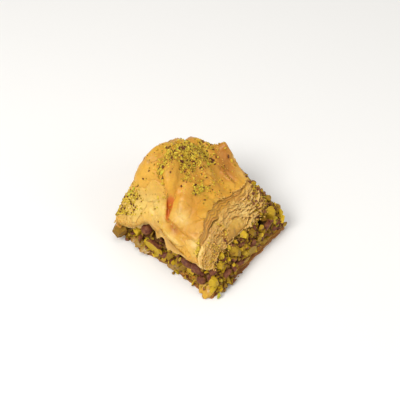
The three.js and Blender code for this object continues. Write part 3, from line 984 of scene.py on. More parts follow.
shreds = {
    "count": 210,
    "atBack": 0.38,  # the share of them on the back face
    "fluffy": 40,  # more of them, longer, where the sheets are loose and creamy
    "fluffyReach": 1.5,
    "clear": 0.3,  # how much of the pocket's place they keep clear of
    "long": (2.0, 8.0),
    "reach": (0.4, 1.5),
    "tilt": 0.05,
    "droop": (-0.7, 0.6),
    "root": 0.5,  # how deep they start inside
    "thick": 0.09,
    "grid": (13, 4),  # columns and rows
    "pale": (0.2, 0.8),
    "seed": 17,
}


# Joins lists of points, faces and tones into one mesh.
def joinedMesh(name, points, corners, tones, domain):
    mesh = bpy.data.meshes.new(name)
    mesh.from_pydata(toPart(np.concatenate(points)).tolist(), [], np.concatenate(corners).tolist())
    paint(mesh, {tone: np.concatenate(values) for tone, values in tones.items()}, domain)
    return mesh


# Torn strips of sheet that stick out of the stack's cut and back faces, joined into one piece.
def makeShreds(layers):
    draw = np.random.default_rng(shreds["seed"])
    columns, rows = shreds["grid"]
    run, out = np.meshgrid(np.linspace(-1, 1, columns), np.linspace(0, 1, rows))
    corner = np.arange((rows - 1) * columns).reshape(rows - 1, columns)[:, :-1].ravel()
    quads = np.stack([corner, corner + 1, corner + columns + 1, corner + columns], axis=1)
    points, corners = [], []
    shades = {"pale": [], "edge": [], "toast": []}
    for index in range(shreds["count"] + shreds["fluffy"]):
        fluffy = index >= shreds["count"]
        atBack = draw.uniform() < shreds["atBack"] and not fluffy
        share = draw.uniform(0.0, 0.97)
        place = draw.uniform(-0.97, 0.97)
        if fluffy:
            at, up, along, tall = stack["cream"]
            place = np.clip(2 * (at + draw.normal() * along * 0.6) - 1, -0.97, 0.97)
            share = np.clip(up + draw.normal() * tall * 0.6, 0.02, 0.9)
        if not atBack and wallTone(stack["pocket"], place, share) > shreds["clear"]:
            continue
        half = skewed(draw, shreds["long"], 1.5) / plan["wide"]
        reach = skewed(draw, shreds["reach"], 1.5) * (shreds["fluffyReach"] if fluffy else 1)
        tilt = draw.normal() * shreds["tilt"]
        shares = capped(share + tilt * run * half * 8)
        spots = np.clip(place + run * half, -1, 1)
        rim = np.ones_like(spots)
        base = onStack(rim, spots, shares) if atBack else onStack(spots, -rim, shares)
        away = np.array([1.0, 0.1, 0]) if atBack else np.array([-0.05, -1.0, 0])
        droop = draw.uniform(*shreds["droop"])
        uneven = 0.75 + 0.5 * field(base + index * 3.1, 1.1, 61)
        far = out * reach * np.sqrt(capped(1 - run**2)) * uneven
        strip = base + away * (far - shreds["root"])[..., None]
        strip[..., 2] += droop * far + 0.3 * out * field(base + index * 1.7, 1.4, 62)
        points.append(strip.reshape(-1, 3))
        corners.append(quads + len(corners) * columns * rows)
        creamy = wallTone(stack["cream"], place, share)
        shades["pale"].append(np.full(columns * rows, min(draw.uniform(*shreds["pale"]) + 0.6 * creamy, 1)))
        shades["toast"].append(np.full(columns * rows, 0.5 * smooth(share, 0.6, 0.9) * draw.uniform()))
        shades["edge"].append((0.6 * out).ravel())
    mesh = joinedMesh("pastry_shreds", points, corners, shades, "POINT")
    mesh.shade_smooth()
    piece = thicken(newPiece("pastry_shreds", mesh), shreds["thick"])
    finishPiece(piece, layers, "crisp_pastry", "puffed_crust")


flakes = {
    "grid": (40, 40),
    "thick": 0.12,
    "uneven": [(0.9, 0.4), (0.2, 0.12)],  # outlines: size in directions, and how far they reach
    "lift": 0.2,
    "curl": 0.4,
    "shade": 0.22,  # how dark the sheet below is along a flake's rim
    "seed": 90,
    # middle and half sizes on the plan square, turn in degrees, paleness
    "patches": [
        (0.15, 0.735, 0.055, 0.1, 10, 0.25),
        (0.42, 0.9, 0.12, 0.1, -10, 0.0),
        (0.04, 0.5, 0.035, 0.16, 0, 0.1),
        (0.05, 0.24, 0.04, 0.09, 0, 0.4),
        (0.62, 0.42, 0.12, 0.08, -15, 0.0),
        (0.66, 0.62, 0.1, 0.12, 30, 0.0),
        (0.55, 0.97, 0.16, 0.03, 0, 0.0),
        (0.24, 0.97, 0.12, 0.03, 0, 0.2),
        (0.07, 0.86, 0.06, 0.07, 0, 0.2),
        (0.33, 0.36, 0.11, 0.06, 12, 0.0),
        (0.17, 0.3, 0.05, 0.07, 40, 0.0),
        (0.82, 0.86, 0.08, 0.07, 20, 0.0),
        (0.88, 0.69, 0.03, 0.04, 0, 0.0),
        (0.1, 0.66, 0.06, 0.06, 30, 0.3),
        (0.2, 0.47, 0.05, 0.06, -20, 0.0),
        (0.74, 0.47, 0.07, 0.05, 10, 0.0),
        (0.48, 0.33, 0.06, 0.045, -20, 0.2),
        (0.075, 0.4, 0.03, 0.06, 10, 0.0),
    ],
}


# A torn flake of sheet lying on the top: round in plan with an uneven outline, its rim curled up.
def flakeForm(s, t, patch, seed):
    far = np.maximum(np.abs(s), np.abs(t))
    length = np.hypot(s, t) + 1e-9
    uneven = flakeUneven(pointsAt(s / length, t / length, seed), seed)
    p, q = placeOn(patch, s / length * far * uneven, t / length * far * uneven)
    p = np.clip(p, 0.004, 0.955)
    q = np.clip(q, cutLine(p) + 0.08 * hump(p - 0.36, 0.28) + 0.005, 0.995)
    smoothPlace = onCrust(p, q)
    rim = smooth(far, 0.75, 1)
    curl = flakes["curl"] * rim * np.maximum(field(smoothPlace, 3.0, seed + 2), -0.25)
    height = topRelief(smoothPlace, p, q) + flakes["lift"] * (1 - 0.6 * rim) + curl
    shades = {name: toneAt(name, p, q) * (0 if name == "dust" else 1) for name in tones}
    shades["pale"] = capped(shades["pale"] + patch[5] + 0.1 * smooth(far, 0.9, 1))
    shades["edge"] = 0.3 * smooth(far, 0.93, 1)
    return smoothPlace + upNormals(p, q) * height[..., None], shades


# The way out of the top sheet's form at any place on it.
def upNormals(p, q):
    step = 0.004
    alongP = onCrust(np.minimum(p + step, 1), q) - onCrust(np.maximum(p - step, 0), q)
    alongQ = onCrust(p, np.minimum(q + step, 1)) - onCrust(p, np.maximum(q - step, 0))
    out = np.cross(alongP, alongQ)
    return out / (np.linalg.norm(out, axis=-1, keepdims=True) + 1e-9)


def makeFlakes(pastry):
    finish = (pastry, "crisp_pastry", "puffed_crust")
    for index, patch in enumerate(flakes["patches"]):
        seed = flakes["seed"] + 3 * index
        makeSheet(f"flake_{index + 1:02d}", flakes, finish, flakeForm, patch, seed)


# A bit of nut as plain arrays: a squeezed ball chopped by planes, with its skin left on the round.
def choppedNut(squeeze, cuts, finer=2):
    made = bmesh.new()
    bmesh.ops.create_icosphere(made, subdivisions=finer, radius=1)
    bmesh.ops.scale(made, vec=squeeze, verts=made.verts)
    skin = made.faces.layers.float.new("skin")
    for face in made.faces:
        face[skin] = 1
    for way, depth in cuts:
        way = Vector(way).normalized()
        everything = made.verts[:] + made.edges[:] + made.faces[:]
        sliced = bmesh.ops.bisect_plane(
            made, geom=everything, plane_co=way * depth, plane_no=way, clear_outer=True
        )
        rim = [part for part in sliced["geom_cut"] if isinstance(part, bmesh.types.BMEdge)]
        for face in bmesh.ops.edgeloop_fill(made, edges=rim)["faces"]:
            face[skin] = 0
    bmesh.ops.recalc_face_normals(made, faces=made.faces)
    bmesh.ops.triangulate(made, faces=made.faces)
    made.verts.index_update()
    normals = [face.normal for face in made.faces]
    template = {
        "points": np.array([vert.co[:] for vert in made.verts]),
        "corners": np.array([[vert.index for vert in face.verts] for face in made.faces]),
        "skin": np.array([face[skin] for face in made.faces]),
        # painted light and shade: a little lighter or darker by the way a face looks, so the facets stand
        # apart
        "facetShade": np.array([math.sin(7 * way.x + 11 * way.y + 5 * way.z) for way in normals]),
    }
    made.free()
    return template


def chunkTemplates(seed, count, fewest, most, finer):
    draw = np.random.default_rng(seed)
    templates = []
    for _ in range(count):
        squeeze = (1, draw.uniform(0.6, 0.9), draw.uniform(0.5, 0.8))
        cuts = []
        for _ in range(draw.integers(fewest, most + 1)):
            way = draw.normal(size=3)
            way /= np.linalg.norm(way)
            cuts.append((way, draw.uniform(0.22, 0.55) * np.linalg.norm(way * squeeze)))
        templates.append(choppedNut(squeeze, cuts, finer))
    return templates


def randomTurns(draw, count):
    spin = draw.normal(size=(count, 4))
    w, x, y, z = (spin / np.linalg.norm(spin, axis=1, keepdims=True)).T
    return np.stack([
        1 - 2 * (y * y + z * z), 2 * (x * y - z * w), 2 * (x * z + y * w),
        2 * (x * y + z * w), 1 - 2 * (x * x + z * z), 2 * (y * z - x * w),
        2 * (x * z - y * w), 2 * (y * z + x * w), 1 - 2 * (x * x + y * y),
    ], axis=1).reshape(count, 3, 3)


# The first values of a bit: the template that it copies, and its half sizes, each a little uneven.
def newBit(draw, templates, size, uneven):
    return {"pick": draw.integers(len(templates)), "size": size * draw.uniform(*uneven, 3)}


# Joins one copy of a template for each bit into a single piece, and paints the bits' tones on it.
def joinBits(name, templates, bits, painted=("skin", "tint")):
    points, corners = [], []
    shades = {tone: [] for tone in painted}
    offset = 0
    for bit in bits:
        template = templates[bit["pick"]]
        placed = (template["points"] * bit["size"]) @ bit["turn"].T + bit["place"]
        placed[:, 2] = np.maximum(placed[:, 2], 0)
        points.append(placed)
        corners.append(template["corners"] + offset)
        for tone in painted:
            value = bit[tone] if tone in bit else template[tone]
            # each tone gets its facet's painted light and shade
            shades[tone].append(value + 0.1 * template["facetShade"])
        offset += len(placed)
    return newPiece(name, joinedMesh(name, points, corners, shades, "FACE"))


# Where a bit sits on each side, the way out, and the turn that makes its front look that way.
sides = {
    "cut": (lambda u: (u, -1), (0, -1, 0), 0),
    "back": (lambda u: (1, u), (1, 0, 0), 90),
    "far": (lambda u: (u, 1), (0, 1, 0), 180),
    "left": (lambda u: (-1, u), (-1, 0, 0), -90),
    "leftCorner": (lambda u: (-1, 1), (-0.7, 0.7, 0), -135),
}

# Kernels large enough to pick out one by one: side, place along it, height, half sizes, turn and
# roll in degrees, how deep the middle lies, how it is chopped, and tint.
kernels = [
    ("left", 1.0, 5.7, (4.1, 3.6, 3.5), 32, 8, -4.3, "block", 0.02),
    ("left", 0.87, 7.2, (2.4, 2.0, 2.0), 20, 0, -1.0, "block", 0.9),
    ("left", 0.8, 9.8, (2.5, 2.3, 2.2), 0, 0, -1.6, "round", 0.3),
    ("left", 0.65, 6.0, (4.6, 2.8, 2.5), 16, 17, -1.8, "half", 0.66),
    ("left", 0.5, 4.6, (2.8, 2.0, 1.8), 20, 10, -0.1, "block", 0.3),
    ("left", 0.4, 4.6, (2.5, 1.9, 1.9), 60, 0, -0.2, "block", 0.35),
    ("left", 0.31, 8.2, (3.2, 1.6, 1.5), 14, 0, -0.8, "round", 0.3),
    ("left", 0.2, 8.6, (3.0, 1.7, 1.6), 16, 0, -0.8, "round", 0.3),
    ("left", 0.14, 5.0, (2.2, 1.7, 1.7), -20, 0, -0.3, "round", 0.4),
    ("cut", -0.04, 9.2, (2.7, 2.6, 2.9), 10, 0, -0.8, "block", 0.64),
    ("cut", 0.09, 12.4, (2.2, 2.0, 2.4), 30, 0, -0.6, "block", 0.55),
    ("cut", 0.16, 6.6, (3.0, 2.2, 2.1), -10, 50, -0.2, "half", 0.1),
    ("cut", 0.32, 11.8, (4.0, 3.2, 3.3), 35, 0, -0.2, "block", 0.3),
    ("cut", 0.34, 5.1, (3.0, 2.2, 2.1), 20, 60, 0.3, "half", 0.3),
    ("cut", 0.42, 8.2, (2.2, 2.0, 1.9), -30, 0, -0.3, "block", 0.5),
    ("cut", 0.49, 14.0, (2.6, 2.4, 2.4), 40, 0, -0.6, "block", 0.72),
    ("cut", 0.53, 6.4, (4.0, 2.1, 2.0), 40, 10, 0.0, "half", 0.35),
    ("cut", 0.58, 12.8, (2.4, 2.0, 2.0), 20, 0, -0.2, "block", 0.1),
    ("cut", 0.78, 9.0, (3.8, 2.4, 2.2), -25, 30, 0.3, "half", 0.15),
    ("cut", 0.7, 5.1, (2.7, 2.0, 2.0), -25, 0, 0.3, "block", 0.3),
    ("cut", 0.88, 12.2, (4.2, 3.0, 3.0), 72, 0, -1.2, "block", 0.42),
    ("cut", 0.93, 6.1, (3.0, 2.4, 2.2), 10, 40, 0.7, "half", 0.2),
    ("back", 0.345, 17.4, (2.2, 2.0, 1.9), 25, 0, -2.6, "block", 0.1),
    ("back", 0.26, 16.6, (2.3, 1.9, 1.7), -20, 0, -2.0, "block", 0.6),
    ("back", 0.17, 15.6, (2.4, 2.2, 2.0), 40, 0, -1.2, "block", 0.45),
    ("back", 0.1, 14.0, (1.9, 1.7, 1.7), 10, 0, -0.6, "block", 0.1),
    ("back", 0.12, 9.0, (3.0, 2.4, 2.6), 25, 0, 0.2, "block", 0.4),
    ("back", 0.3, 7.5, (3.6, 2.2, 2.4), 15, 0, 0.3, "half", 0.4),
    ("back", 0.45, 11.5, (2.4, 2.0, 2.0), -35, 0, 0.2, "round", 0.4),
    ("back", 0.62, 8.5, (3.2, 2.4, 2.2), 40, 0, 0.3, "half", 0.5),
    ("back", 0.82, 6.6, (2.8, 2.3, 2.4), -15, 0, 0.2, "block", 0.3),
    ("far", 0.2, 5.6, (2.8, 2.2, 2.2), 15, 0, 0.2, "block", 0.5),
    ("far", 0.42, 6.2, (3.6, 2.0, 1.9), 25, 0, 0.2, "half", 0.4),
    ("far", 0.72, 5.8, (3.0, 2.1, 1.9), -30, 0, 0.2, "half", 0.6),
]

# Planes that chop a kernel: which way each looks, its front being -Y, and how far out it lies.
chops = {
    "half": [((0.1, -1, 0.2), 0.05), ((0.3, 0.5, -1), 0.7), ((1, -0.3, 0.6), 0.75), ((-1, 0.1, 0.2), 0.85)],
    "block": [
        ((0.15, -1, 0.3), 0.36), ((0.2, -0.3, 1), 0.42), ((1, -0.2, 0.3), 0.42), ((-1, -0.35, 0.1), 0.48),
        ((-0.2, -0.4, -1), 0.5),
    ],
    "round": [((0.4, 0.5, -1), 0.6)],
}

heap = {
    # pieces: how many bits, which template, sizes, how far apart and how deep they lie as shares of
    # their size, and the share that is all skin
    "kinds": {
        "chopped_nuts_large": (420, "chunk", (1.3, 2.9), 0.5, (-0.5, 0.1), 0.1),
        "chopped_nuts_small": (640, "chunk", (0.45, 0.95), 0.35, (-1.4, 0.2), 0.15),
        "nut_crumbs": (1100, "crumb", (0.18, 0.42), 0.3, (-2.4, 1.0), 0.2),
    },
    "bareShare": 0.3,  # bits without any skin
    "roomFrom": 1.0,  # bits larger than this keep others off
    # where bits lie: on the sides, in front of and behind the stack, and against its right corner
    "shares": {
        "cut": 0.26,
        "left": 0.18,
        "back": 0.14,
        "far": 0.11,
        "ledge": 0.19,
        "backLedge": 0.06,
        "backHeap": 0.06,
    },
    "lowest": 2.4,
    "highest": {"cut": 14.2, "left": 13.5, "back": 14.2, "far": 9.8},
    "ledge": 0.4,  # how far its foot stands behind the base sheets at the cut face
    "ledgeFrom": (0.3, 4.0),  # along the cut face, and the lowest height there
    "ledgeFades": (6, 11),  # heights between which it comes out to the face again
    "backLedge": (0.93, 1),
    "cornerAlong": (0.16, 0.42),  # the bits against the right corner: q on the back face, p, heights
    "cornerDepth": (0.93, 0.99),
    "cornerHigh": (13.5, 15.0, 18.5),  # the lowest, and the highest at either end
    "hollow": (0.745, 12.8, 2.7, 5.5),  # a hole in the cut face: place, height, half width and depth
    "seed": 21,
}


# A place on a side at the given height, or past the side's top edge by what the height is more.
def spotOnSide(name, at, height):
    where, out, _ = sides[name]
    s, t = (np.array(float(value)) for value in where(2 * at - 1))
    out = np.array(out, float)
    top = fillingTop((1 + s) / 2, (1 + t) / 2)
    level = capped((height - filling["low"]) / (top - filling["low"]))
    over = max(float(height - top), 0)
    spot = onFilling(s - out[0] * over * 2 / plan["wide"], t - out[1] * over * 2 / plan["long"], level)
    return spot, out + np.array([0, 0, 1.2 if over else 0])


def randomSpot(draw):
    name = drawName(draw, heap["shares"])
    if name == "ledge":
        p = skewed(draw, (1, 0), 1.4)
        q = draw.uniform(0.01, recede(p) + 0.02)
        return onFilling(2 * p - 1, 2 * q - 1, 1.0), np.array([0, -0.5, 0.85])
    if name == "backLedge":
        spot = onFilling(draw.uniform(*heap["backLedge"]), draw.uniform(-0.9, 0.95), 1.0)
        return spot, np.array([0.5, 0, 0.85])
    if name == "backHeap":
        front, back = heap["cornerAlong"]
        q = draw.uniform(front, back)
        place = ground(draw.uniform(*heap["cornerDepth"]), q)
        lowest, high, higher = heap["cornerHigh"]
        height = draw.uniform(lowest, between(high, higher, (q - front) / (back - front)))
        return raised(place, height), np.array([0.7, -0.3, 0.6])
    along = draw.uniform()
    start, low = heap["ledgeFrom"]
    overLedge = name == "cut" and along > start
    height = draw.uniform(low if overLedge else heap["lowest"], heap["highest"][name])
    spot, out = spotOnSide(name, along, height)
    if overLedge:
        spot[1] += heap["ledge"] * (1 - smooth(height, *heap["ledgeFades"]))
    return spot, out


# Scatters bits over the filling's sides, clear of the hollow. Large bits keep apart from each other
# and from the kernels, and smaller ones from those.
def heapBits(draw, count, templates, sizes, apart, sunk, skinShare, large):
    bits = []
    taken = [(kernel["place"], kernel["size"].mean()) for kernel in large]
    hollow, _ = spotOnSide("cut", *heap["hollow"][:2])
    tries = 0
    while len(bits) < count and tries < count * 30:
        tries += 1
        size = skewed(draw, sizes, 1.4)
        place, out = randomSpot(draw)
        place = place + out * size * draw.uniform(*sunk)
        place[2] = max(place[2], 1.2 + 0.8 * size)
        if np.linalg.norm(place - hollow) < heap["hollow"][2]:
            continue
        if any(np.linalg.norm(place - other) < apart * (size + far) for other, far in taken):
            continue
        if size > heap["roomFrom"]:
            taken.append((place, size))
        bit = newBit(draw, templates, size, (0.8, 1.25)) | {
            "turn": randomTurns(draw, 1)[0],
            "place": place,
            "tint": draw.uniform() ** 1.5,
        }
        kind = draw.uniform()
        if kind < skinShare:
            bit["skin"] = 1.0
        elif kind > 1 - heap["bareShare"]:
            bit["skin"] = 0.0
        bits.append(bit)
    return bits


def turnAbout(axis, degrees):
    return np.array(Matrix.Rotation(math.radians(degrees), 3, Vector(axis)))


core = {
    "cuts": 44,
    "inward": 0.9,  # how far it lies inside the filling's faces
    "bumps": [(2.2, 0.9), (0.9, 0.4)],
    "below": 0.6,  # and under its top
    "pitWay": (0, 0.7, -0.5),
}


# The core between the kernels: a finely divided block with bumps, and a pit in the cut face with painted
# shade in it.
def makeCore(crumbMaterial):
    made = bmesh.new()
    bmesh.ops.create_cube(made, size=2)
    bmesh.ops.subdivide_edges(made, edges=made.edges, cuts=core["cuts"], use_grid_fill=True)
    mesh = meshFrom(made, "filling_core")
    s, t, level = pointsOf(mesh).T
    points = onFilling(s, t, (1 + level) / 2)
    inward = core["inward"] + waves(points, core["bumps"], 31)
    hollow, _ = spotOnSide("cut", *heap["hollow"][:2])
    _, _, half, depth = heap["hollow"]
    pit = hump(np.linalg.norm(points - hollow, axis=-1), half)
    points -= outwardOf(points) * inward[:, None]
    points += np.array(core["pitWay"]) * (depth * pit)[:, None]
    points[:, 2] -= core["below"] * smooth(level, 0.5, 1)
    # the pit is painted dark as shade
    shapeMesh(mesh, points, {"gap": pit})
    finishPiece(newPiece("filling_core", mesh), crumbMaterial, "chopped_nuts", "nut_filling")


def kernelBits():
    bits = []
    for side, at, height, size, turn, roll, deep, kind, tint in kernels:
        place, out = spotOnSide(side, at, height)
        facing = turnAbout((0, 0, 1), sides[side][2])
        bits.append({
            "pick": kind,
            "size": np.array(size),
            "turn": facing @ turnAbout((0, 1, 0), turn) @ turnAbout((1, 0, 0), roll),
            "place": place - out / np.linalg.norm(out) * deep,
            "tint": tint,
        })
    return bits


spilled = {
    "count": 300,  # bits that hang over the base sheets
    "shares": {"cut": 0.12, "left": 0.4, "back": 0.24, "far": 0.24},
    "cutEnd": 0.35,  # how far along the cut face they lie
    "size": (0.4, 1.7),
    "reach": (0.2, 1.7),
    "height": 2.8,
    # bits that fell beside the piece: places on the plan, half sizes and tints
    "fallen": [
        ((1.1, -1.0, 1.1), (1.9, 1.3, 1.1), 1.15),
        ((-0.6, 19.4, 1.2), (1.5, 1.2, 1.2), 1.0),
        ((-1.5, 20.6, 0.8), (1.1, 0.9, 0.8), 0.0),
    ],
    "round": 170,  # bits round the stack's right corner
    "onCut": 0.5,  # the share of them on the cut face
    "cutUp": 0.7,  # how far up the stack they go there
    "cutSize": (0.35, 1.2),
    "backUp": (0.1, 0.97),
    "backSize": (0.5, 1.7),
    "roundWay": (0.4, -0.4, 0.1),
}


# Bits that hang over the base, fell beside the piece or stick to the stack's right corner.
def spilledBits(draw, chunks):
    bits = []
    uneven = (0.8, 1.2)
    for turn in randomTurns(draw, spilled["count"]):
        side = drawName(draw, spilled["shares"])
        along = draw.uniform(0, spilled["cutEnd"] if side == "cut" else 1)
        place, out = spotOnSide(side, along, 3.4)
        size = skewed(draw, spilled["size"], 1.6)
        place = place + out * draw.uniform(*spilled["reach"])
        place[2] = size * 0.8 + draw.uniform(0, spilled["height"])
        bit = newBit(draw, chunks, size, uneven)
        bits.append(bit | {"turn": turn, "place": place, "tint": draw.uniform() ** 1.5})
    for (place, size, tint), turn in zip(spilled["fallen"], randomTurns(draw, len(spilled["fallen"]))):
        bit = {"pick": 0, "size": np.array(size), "turn": turn}
        bits.append(bit | {"place": place, "tint": tint, "skin": 0.0})
    for turn in randomTurns(draw, spilled["round"]):
        inward = 0.5 * draw.uniform() ** 1.4
        if draw.uniform() < spilled["onCut"]:
            spot = onStack(1 - inward, -1.0, skewed(draw, (0, spilled["cutUp"]), 1.3))
            size = skewed(draw, spilled["cutSize"], 1.5)
        else:
            spot = onStack(1.0, -1.02 + inward, draw.uniform(*spilled["backUp"]))
            size = skewed(draw, spilled["backSize"], 1.3)
        bit = newBit(draw, chunks, size, uneven) | {"turn": turn}
        bits.append(bit | {
            "place": spot + np.array(spilled["roundWay"]) * draw.uniform(-0.3, 0.8),
            "tint": draw.uniform() ** 1.2,
        })
    return bits


def makeFilling(crumbMaterial, pistachio):
    makeCore(crumbMaterial)
    finish = (pistachio, "chopped_nuts", "nut_filling")
    large = kernelBits()
    shapes = {kind: choppedNut((1, 1, 1), planes, 3) for kind, planes in chops.items()}
    finishPiece(joinBits("kernels", shapes, large), *finish)
    draw = np.random.default_rng(heap["seed"])
    templates = {"chunk": chunkTemplates(41, 14, 4, 7, 2), "crumb": chunkTemplates(42, 8, 1, 3, 1)}
    for name, (count, kind, *spacing) in heap["kinds"].items():
        bits = heapBits(draw, count, templates[kind], *spacing, large)
        finishPiece(joinBits(name, templates[kind], bits), *finish)
    chunks = templates["chunk"]
    finishPiece(joinBits("spilled_nuts", chunks, spilledBits(draw, chunks)), *finish)


base = {
    "sheets": 5,
    "thick": 0.42,
    "pitch": 0.62,
    "grid": (76, 76),
    "ragged": [(4, 0.78), (1.2, 0.52)],  # how uneven their edges are: size and reach
    "setBack": 0.4,  # how much further in each sheet ends than the one under it
    "leftReach": 0.4,  # how far it stands out past the plan square on the left
    "cutSetBack": 0.8,  # and how far in at the cut face
    "flaps": [(0.07, 0.1, 1.2), (0.76, 0.08, 1.6)],  # along the left face, half width, reach
    "wave": (3, 0.35),
}

torn = {
    "grid": (30, 20),
    "thick": 0.16,
    "root": 1.2,  # how far inside the left face the flaps start
    "uneven": [(2.4, 0.5), (0.8, 0.2)],
    # strips that came loose: along the left face, half width, reach, heights of root and tip, paleness
    # and dryness
    "flaps": [
        (0.76, 0.12, 3.2, 3.4, 2.2, 0.2, 0.9),
        (0.09, 0.08, 3.3, 4.4, 0.8, 0.9, 0.0),
        (0.45, 0.08, 1.4, 2.8, 1.0, 0.1, 0.6),
        (0.86, 0.06, 2.0, 3.0, 1.6, 0.1, 0.8),
    ],
}


# A soaked sheet with a torn rim, the lowest one for index 0.
def baseForm(s, t, index):
    s, t = finerRim(s, t)
    p = (1 + s) / 2
    q = (1 + t) / 2
    place = raised(ground(p, q), base["pitch"] * index + base["thick"])
    drift = place + np.array([0, 0, index * 11.3])
    toEdge = np.maximum(smooth(np.abs(s), 0.9, 1), smooth(np.abs(t), 0.9, 1))
    ragged = waves(drift, base["ragged"], 51 + index, 10)
    reach = (0.2 - base["setBack"] * index + ragged) * toEdge
    points = place + outwardOf(place) * reach[..., None]
    leftFace = atEdge(p, 0.12)
    points[..., 0] -= base["leftReach"] * leftFace
    points[..., 1] += base["cutSetBack"] * atEdge(q, 0.12)
    fade = 1 - 0.2 * index
    for at, half, flap in base["flaps"]:
        points[..., 0] -= flap * fade * leftFace * hump(q - at, half)
    size, rise = base["wave"]
    points[..., 2] += rise * field(drift, size, 71 + index) * toEdge * min(index, 2) / 2
    points[..., 2] = np.maximum(points[..., 2], base["thick"])
    return points, {"pale": capped(0.25 * index * toEdge + 0.3 * field(drift, 5, 81 + index))}


# A torn strip of the base that stands out at the left face and hangs down.
def tornForm(s, t, seed, at, half, reach, root, tip, paleness, dryness):
    out = (1 + t) / 2
    q = at + s * half * (1 - 0.25 * out**2)
    rim = pointsAt(s * half * plan["long"], 0, seed)
    uneven = (1 - 0.5 * s**2) * (1 + waves(rim, torn["uneven"], seed, 0))
    height = between(root, tip, out**1.4)
    points = raised(ground(0 * q, q), height)
    points[..., 0] += torn["root"] - (torn["root"] + reach * uneven) * out
    points[..., 2] += 0.6 * field(points, 2.8, seed + 1) * (0.4 + out)
    mottle = 0.5 * field(points, 2.5, seed + 2)
    return points, {"pale": capped(paleness + mottle), "dry": capped(dryness - mottle)}


def makeBase(soaked):
    finish = (soaked, "soaked_pastry", "base_sheets")
    for index in range(base["sheets"]):
        makeSheet(f"soaked_sheet_{index + 1}", base, finish, baseForm, index)
    for index, flap in enumerate(torn["flaps"]):
        makeSheet(f"torn_flap_{index + 1}", torn, finish, tornForm, 120 + 3 * index, *flap)


dusting = {
    "grains": 9000,
    "clump": 1.5,  # how far apart the clumps are
    "wallGrains": 90,  # on the front end of the cut face
    "wallWay": (0, -0.8, 0.5),
    "size": (0.2, 0.62),
    "uneven": (0.75, 1.3),
    "skin": 0.13,  # the share of grains that are skin
    "fresh": 0.97,  # the kinds above this are greener
    "seed": 8,
    "lumpEvery": 50,  # every so many grains in the first drifts there is a larger one
    "lumpDrifts": 3,
    "lumpSize": (0.5, 0.95),
    # larger bits that lie on their own: a place on the plan square, half sizes, tint and skin
    "lone": [
        (0.439, 0.853, (1.3, 0.9, 0.7), 0.2, 0.9),
        (0.452, 0.846, (0.8, 0.7, 0.5), 0.2, 0.5),
        (0.354, 0.72, (1.0, 0.8, 0.6), 0.2, 1.0),
        (0.377, 0.758, (0.9, 0.7, 0.6), 0.2, 1.0),
        (0.251, 0.751, (1.4, 1.1, 0.7), 0.9, 0.0),
        (0.244, 0.787, (0.9, 0.8, 0.6), 0.8, 0.0),
        (0.669, 0.601, (1.1, 0.8, 0.7), 1.15, 0.0),
        (0.118, 0.916, (0.9, 0.6, 0.6), 1.15, 0.0),
        (0.091, 0.933, (1.2, 0.9, 0.7), 1.1, 0.0),
        (0.215, 0.861, (0.6, 0.5, 0.4), 0.2, 1.0),
        (0.133, 0.897, (0.6, 0.5, 0.4), 0.2, 1.0),
        (0.037, 0.948, (0.9, 0.7, 0.6), 0.2, 1.0),
        (0.384, 0.415, (0.7, 0.5, 0.4), 0.2, 1.0),
        (0.211, 0.37, (0.8, 0.4, 0.4), 0.2, 1.0),
        (0.229, 0.327, (0.8, 0.4, 0.4), 0.2, 0.9),
        (0.905, 0.565, (1.1, 0.8, 0.6), 0.1, 0.8),
        (0.915, 0.53, (1.0, 0.7, 0.6), 0.7, 0.0),
        (0.925, 0.5, (0.8, 0.6, 0.5), 0.3, 0.3),
    ],
    # running share, middle and half sizes on the plan square, turn
    "drifts": [
        (0.12, 0.3, 0.735, 0.08, 0.07, 0),
        (0.38, 0.5, 0.74, 0.24, 0.13, -6),
        (0.56, 0.72, 0.72, 0.13, 0.1, 0),
        (0.64, 0.385, 0.51, 0.13, 0.028, -20),
        (0.78, 0.05, 0.93, 0.07, 0.08, 0),
        (0.85, 0.06, 0.17, 0.06, 0.05, 0),
        (1.0, 0.42, 0.64, 0.38, 0.26, 0),
    ],
}


# The nearest spot on a piece's surface to a place on the plan, and the way out of it.
def nearestSpot(surface, place):
    spot, out, _, _ = surface.find_nearest(Vector(toPart(place)))
    return spot, out


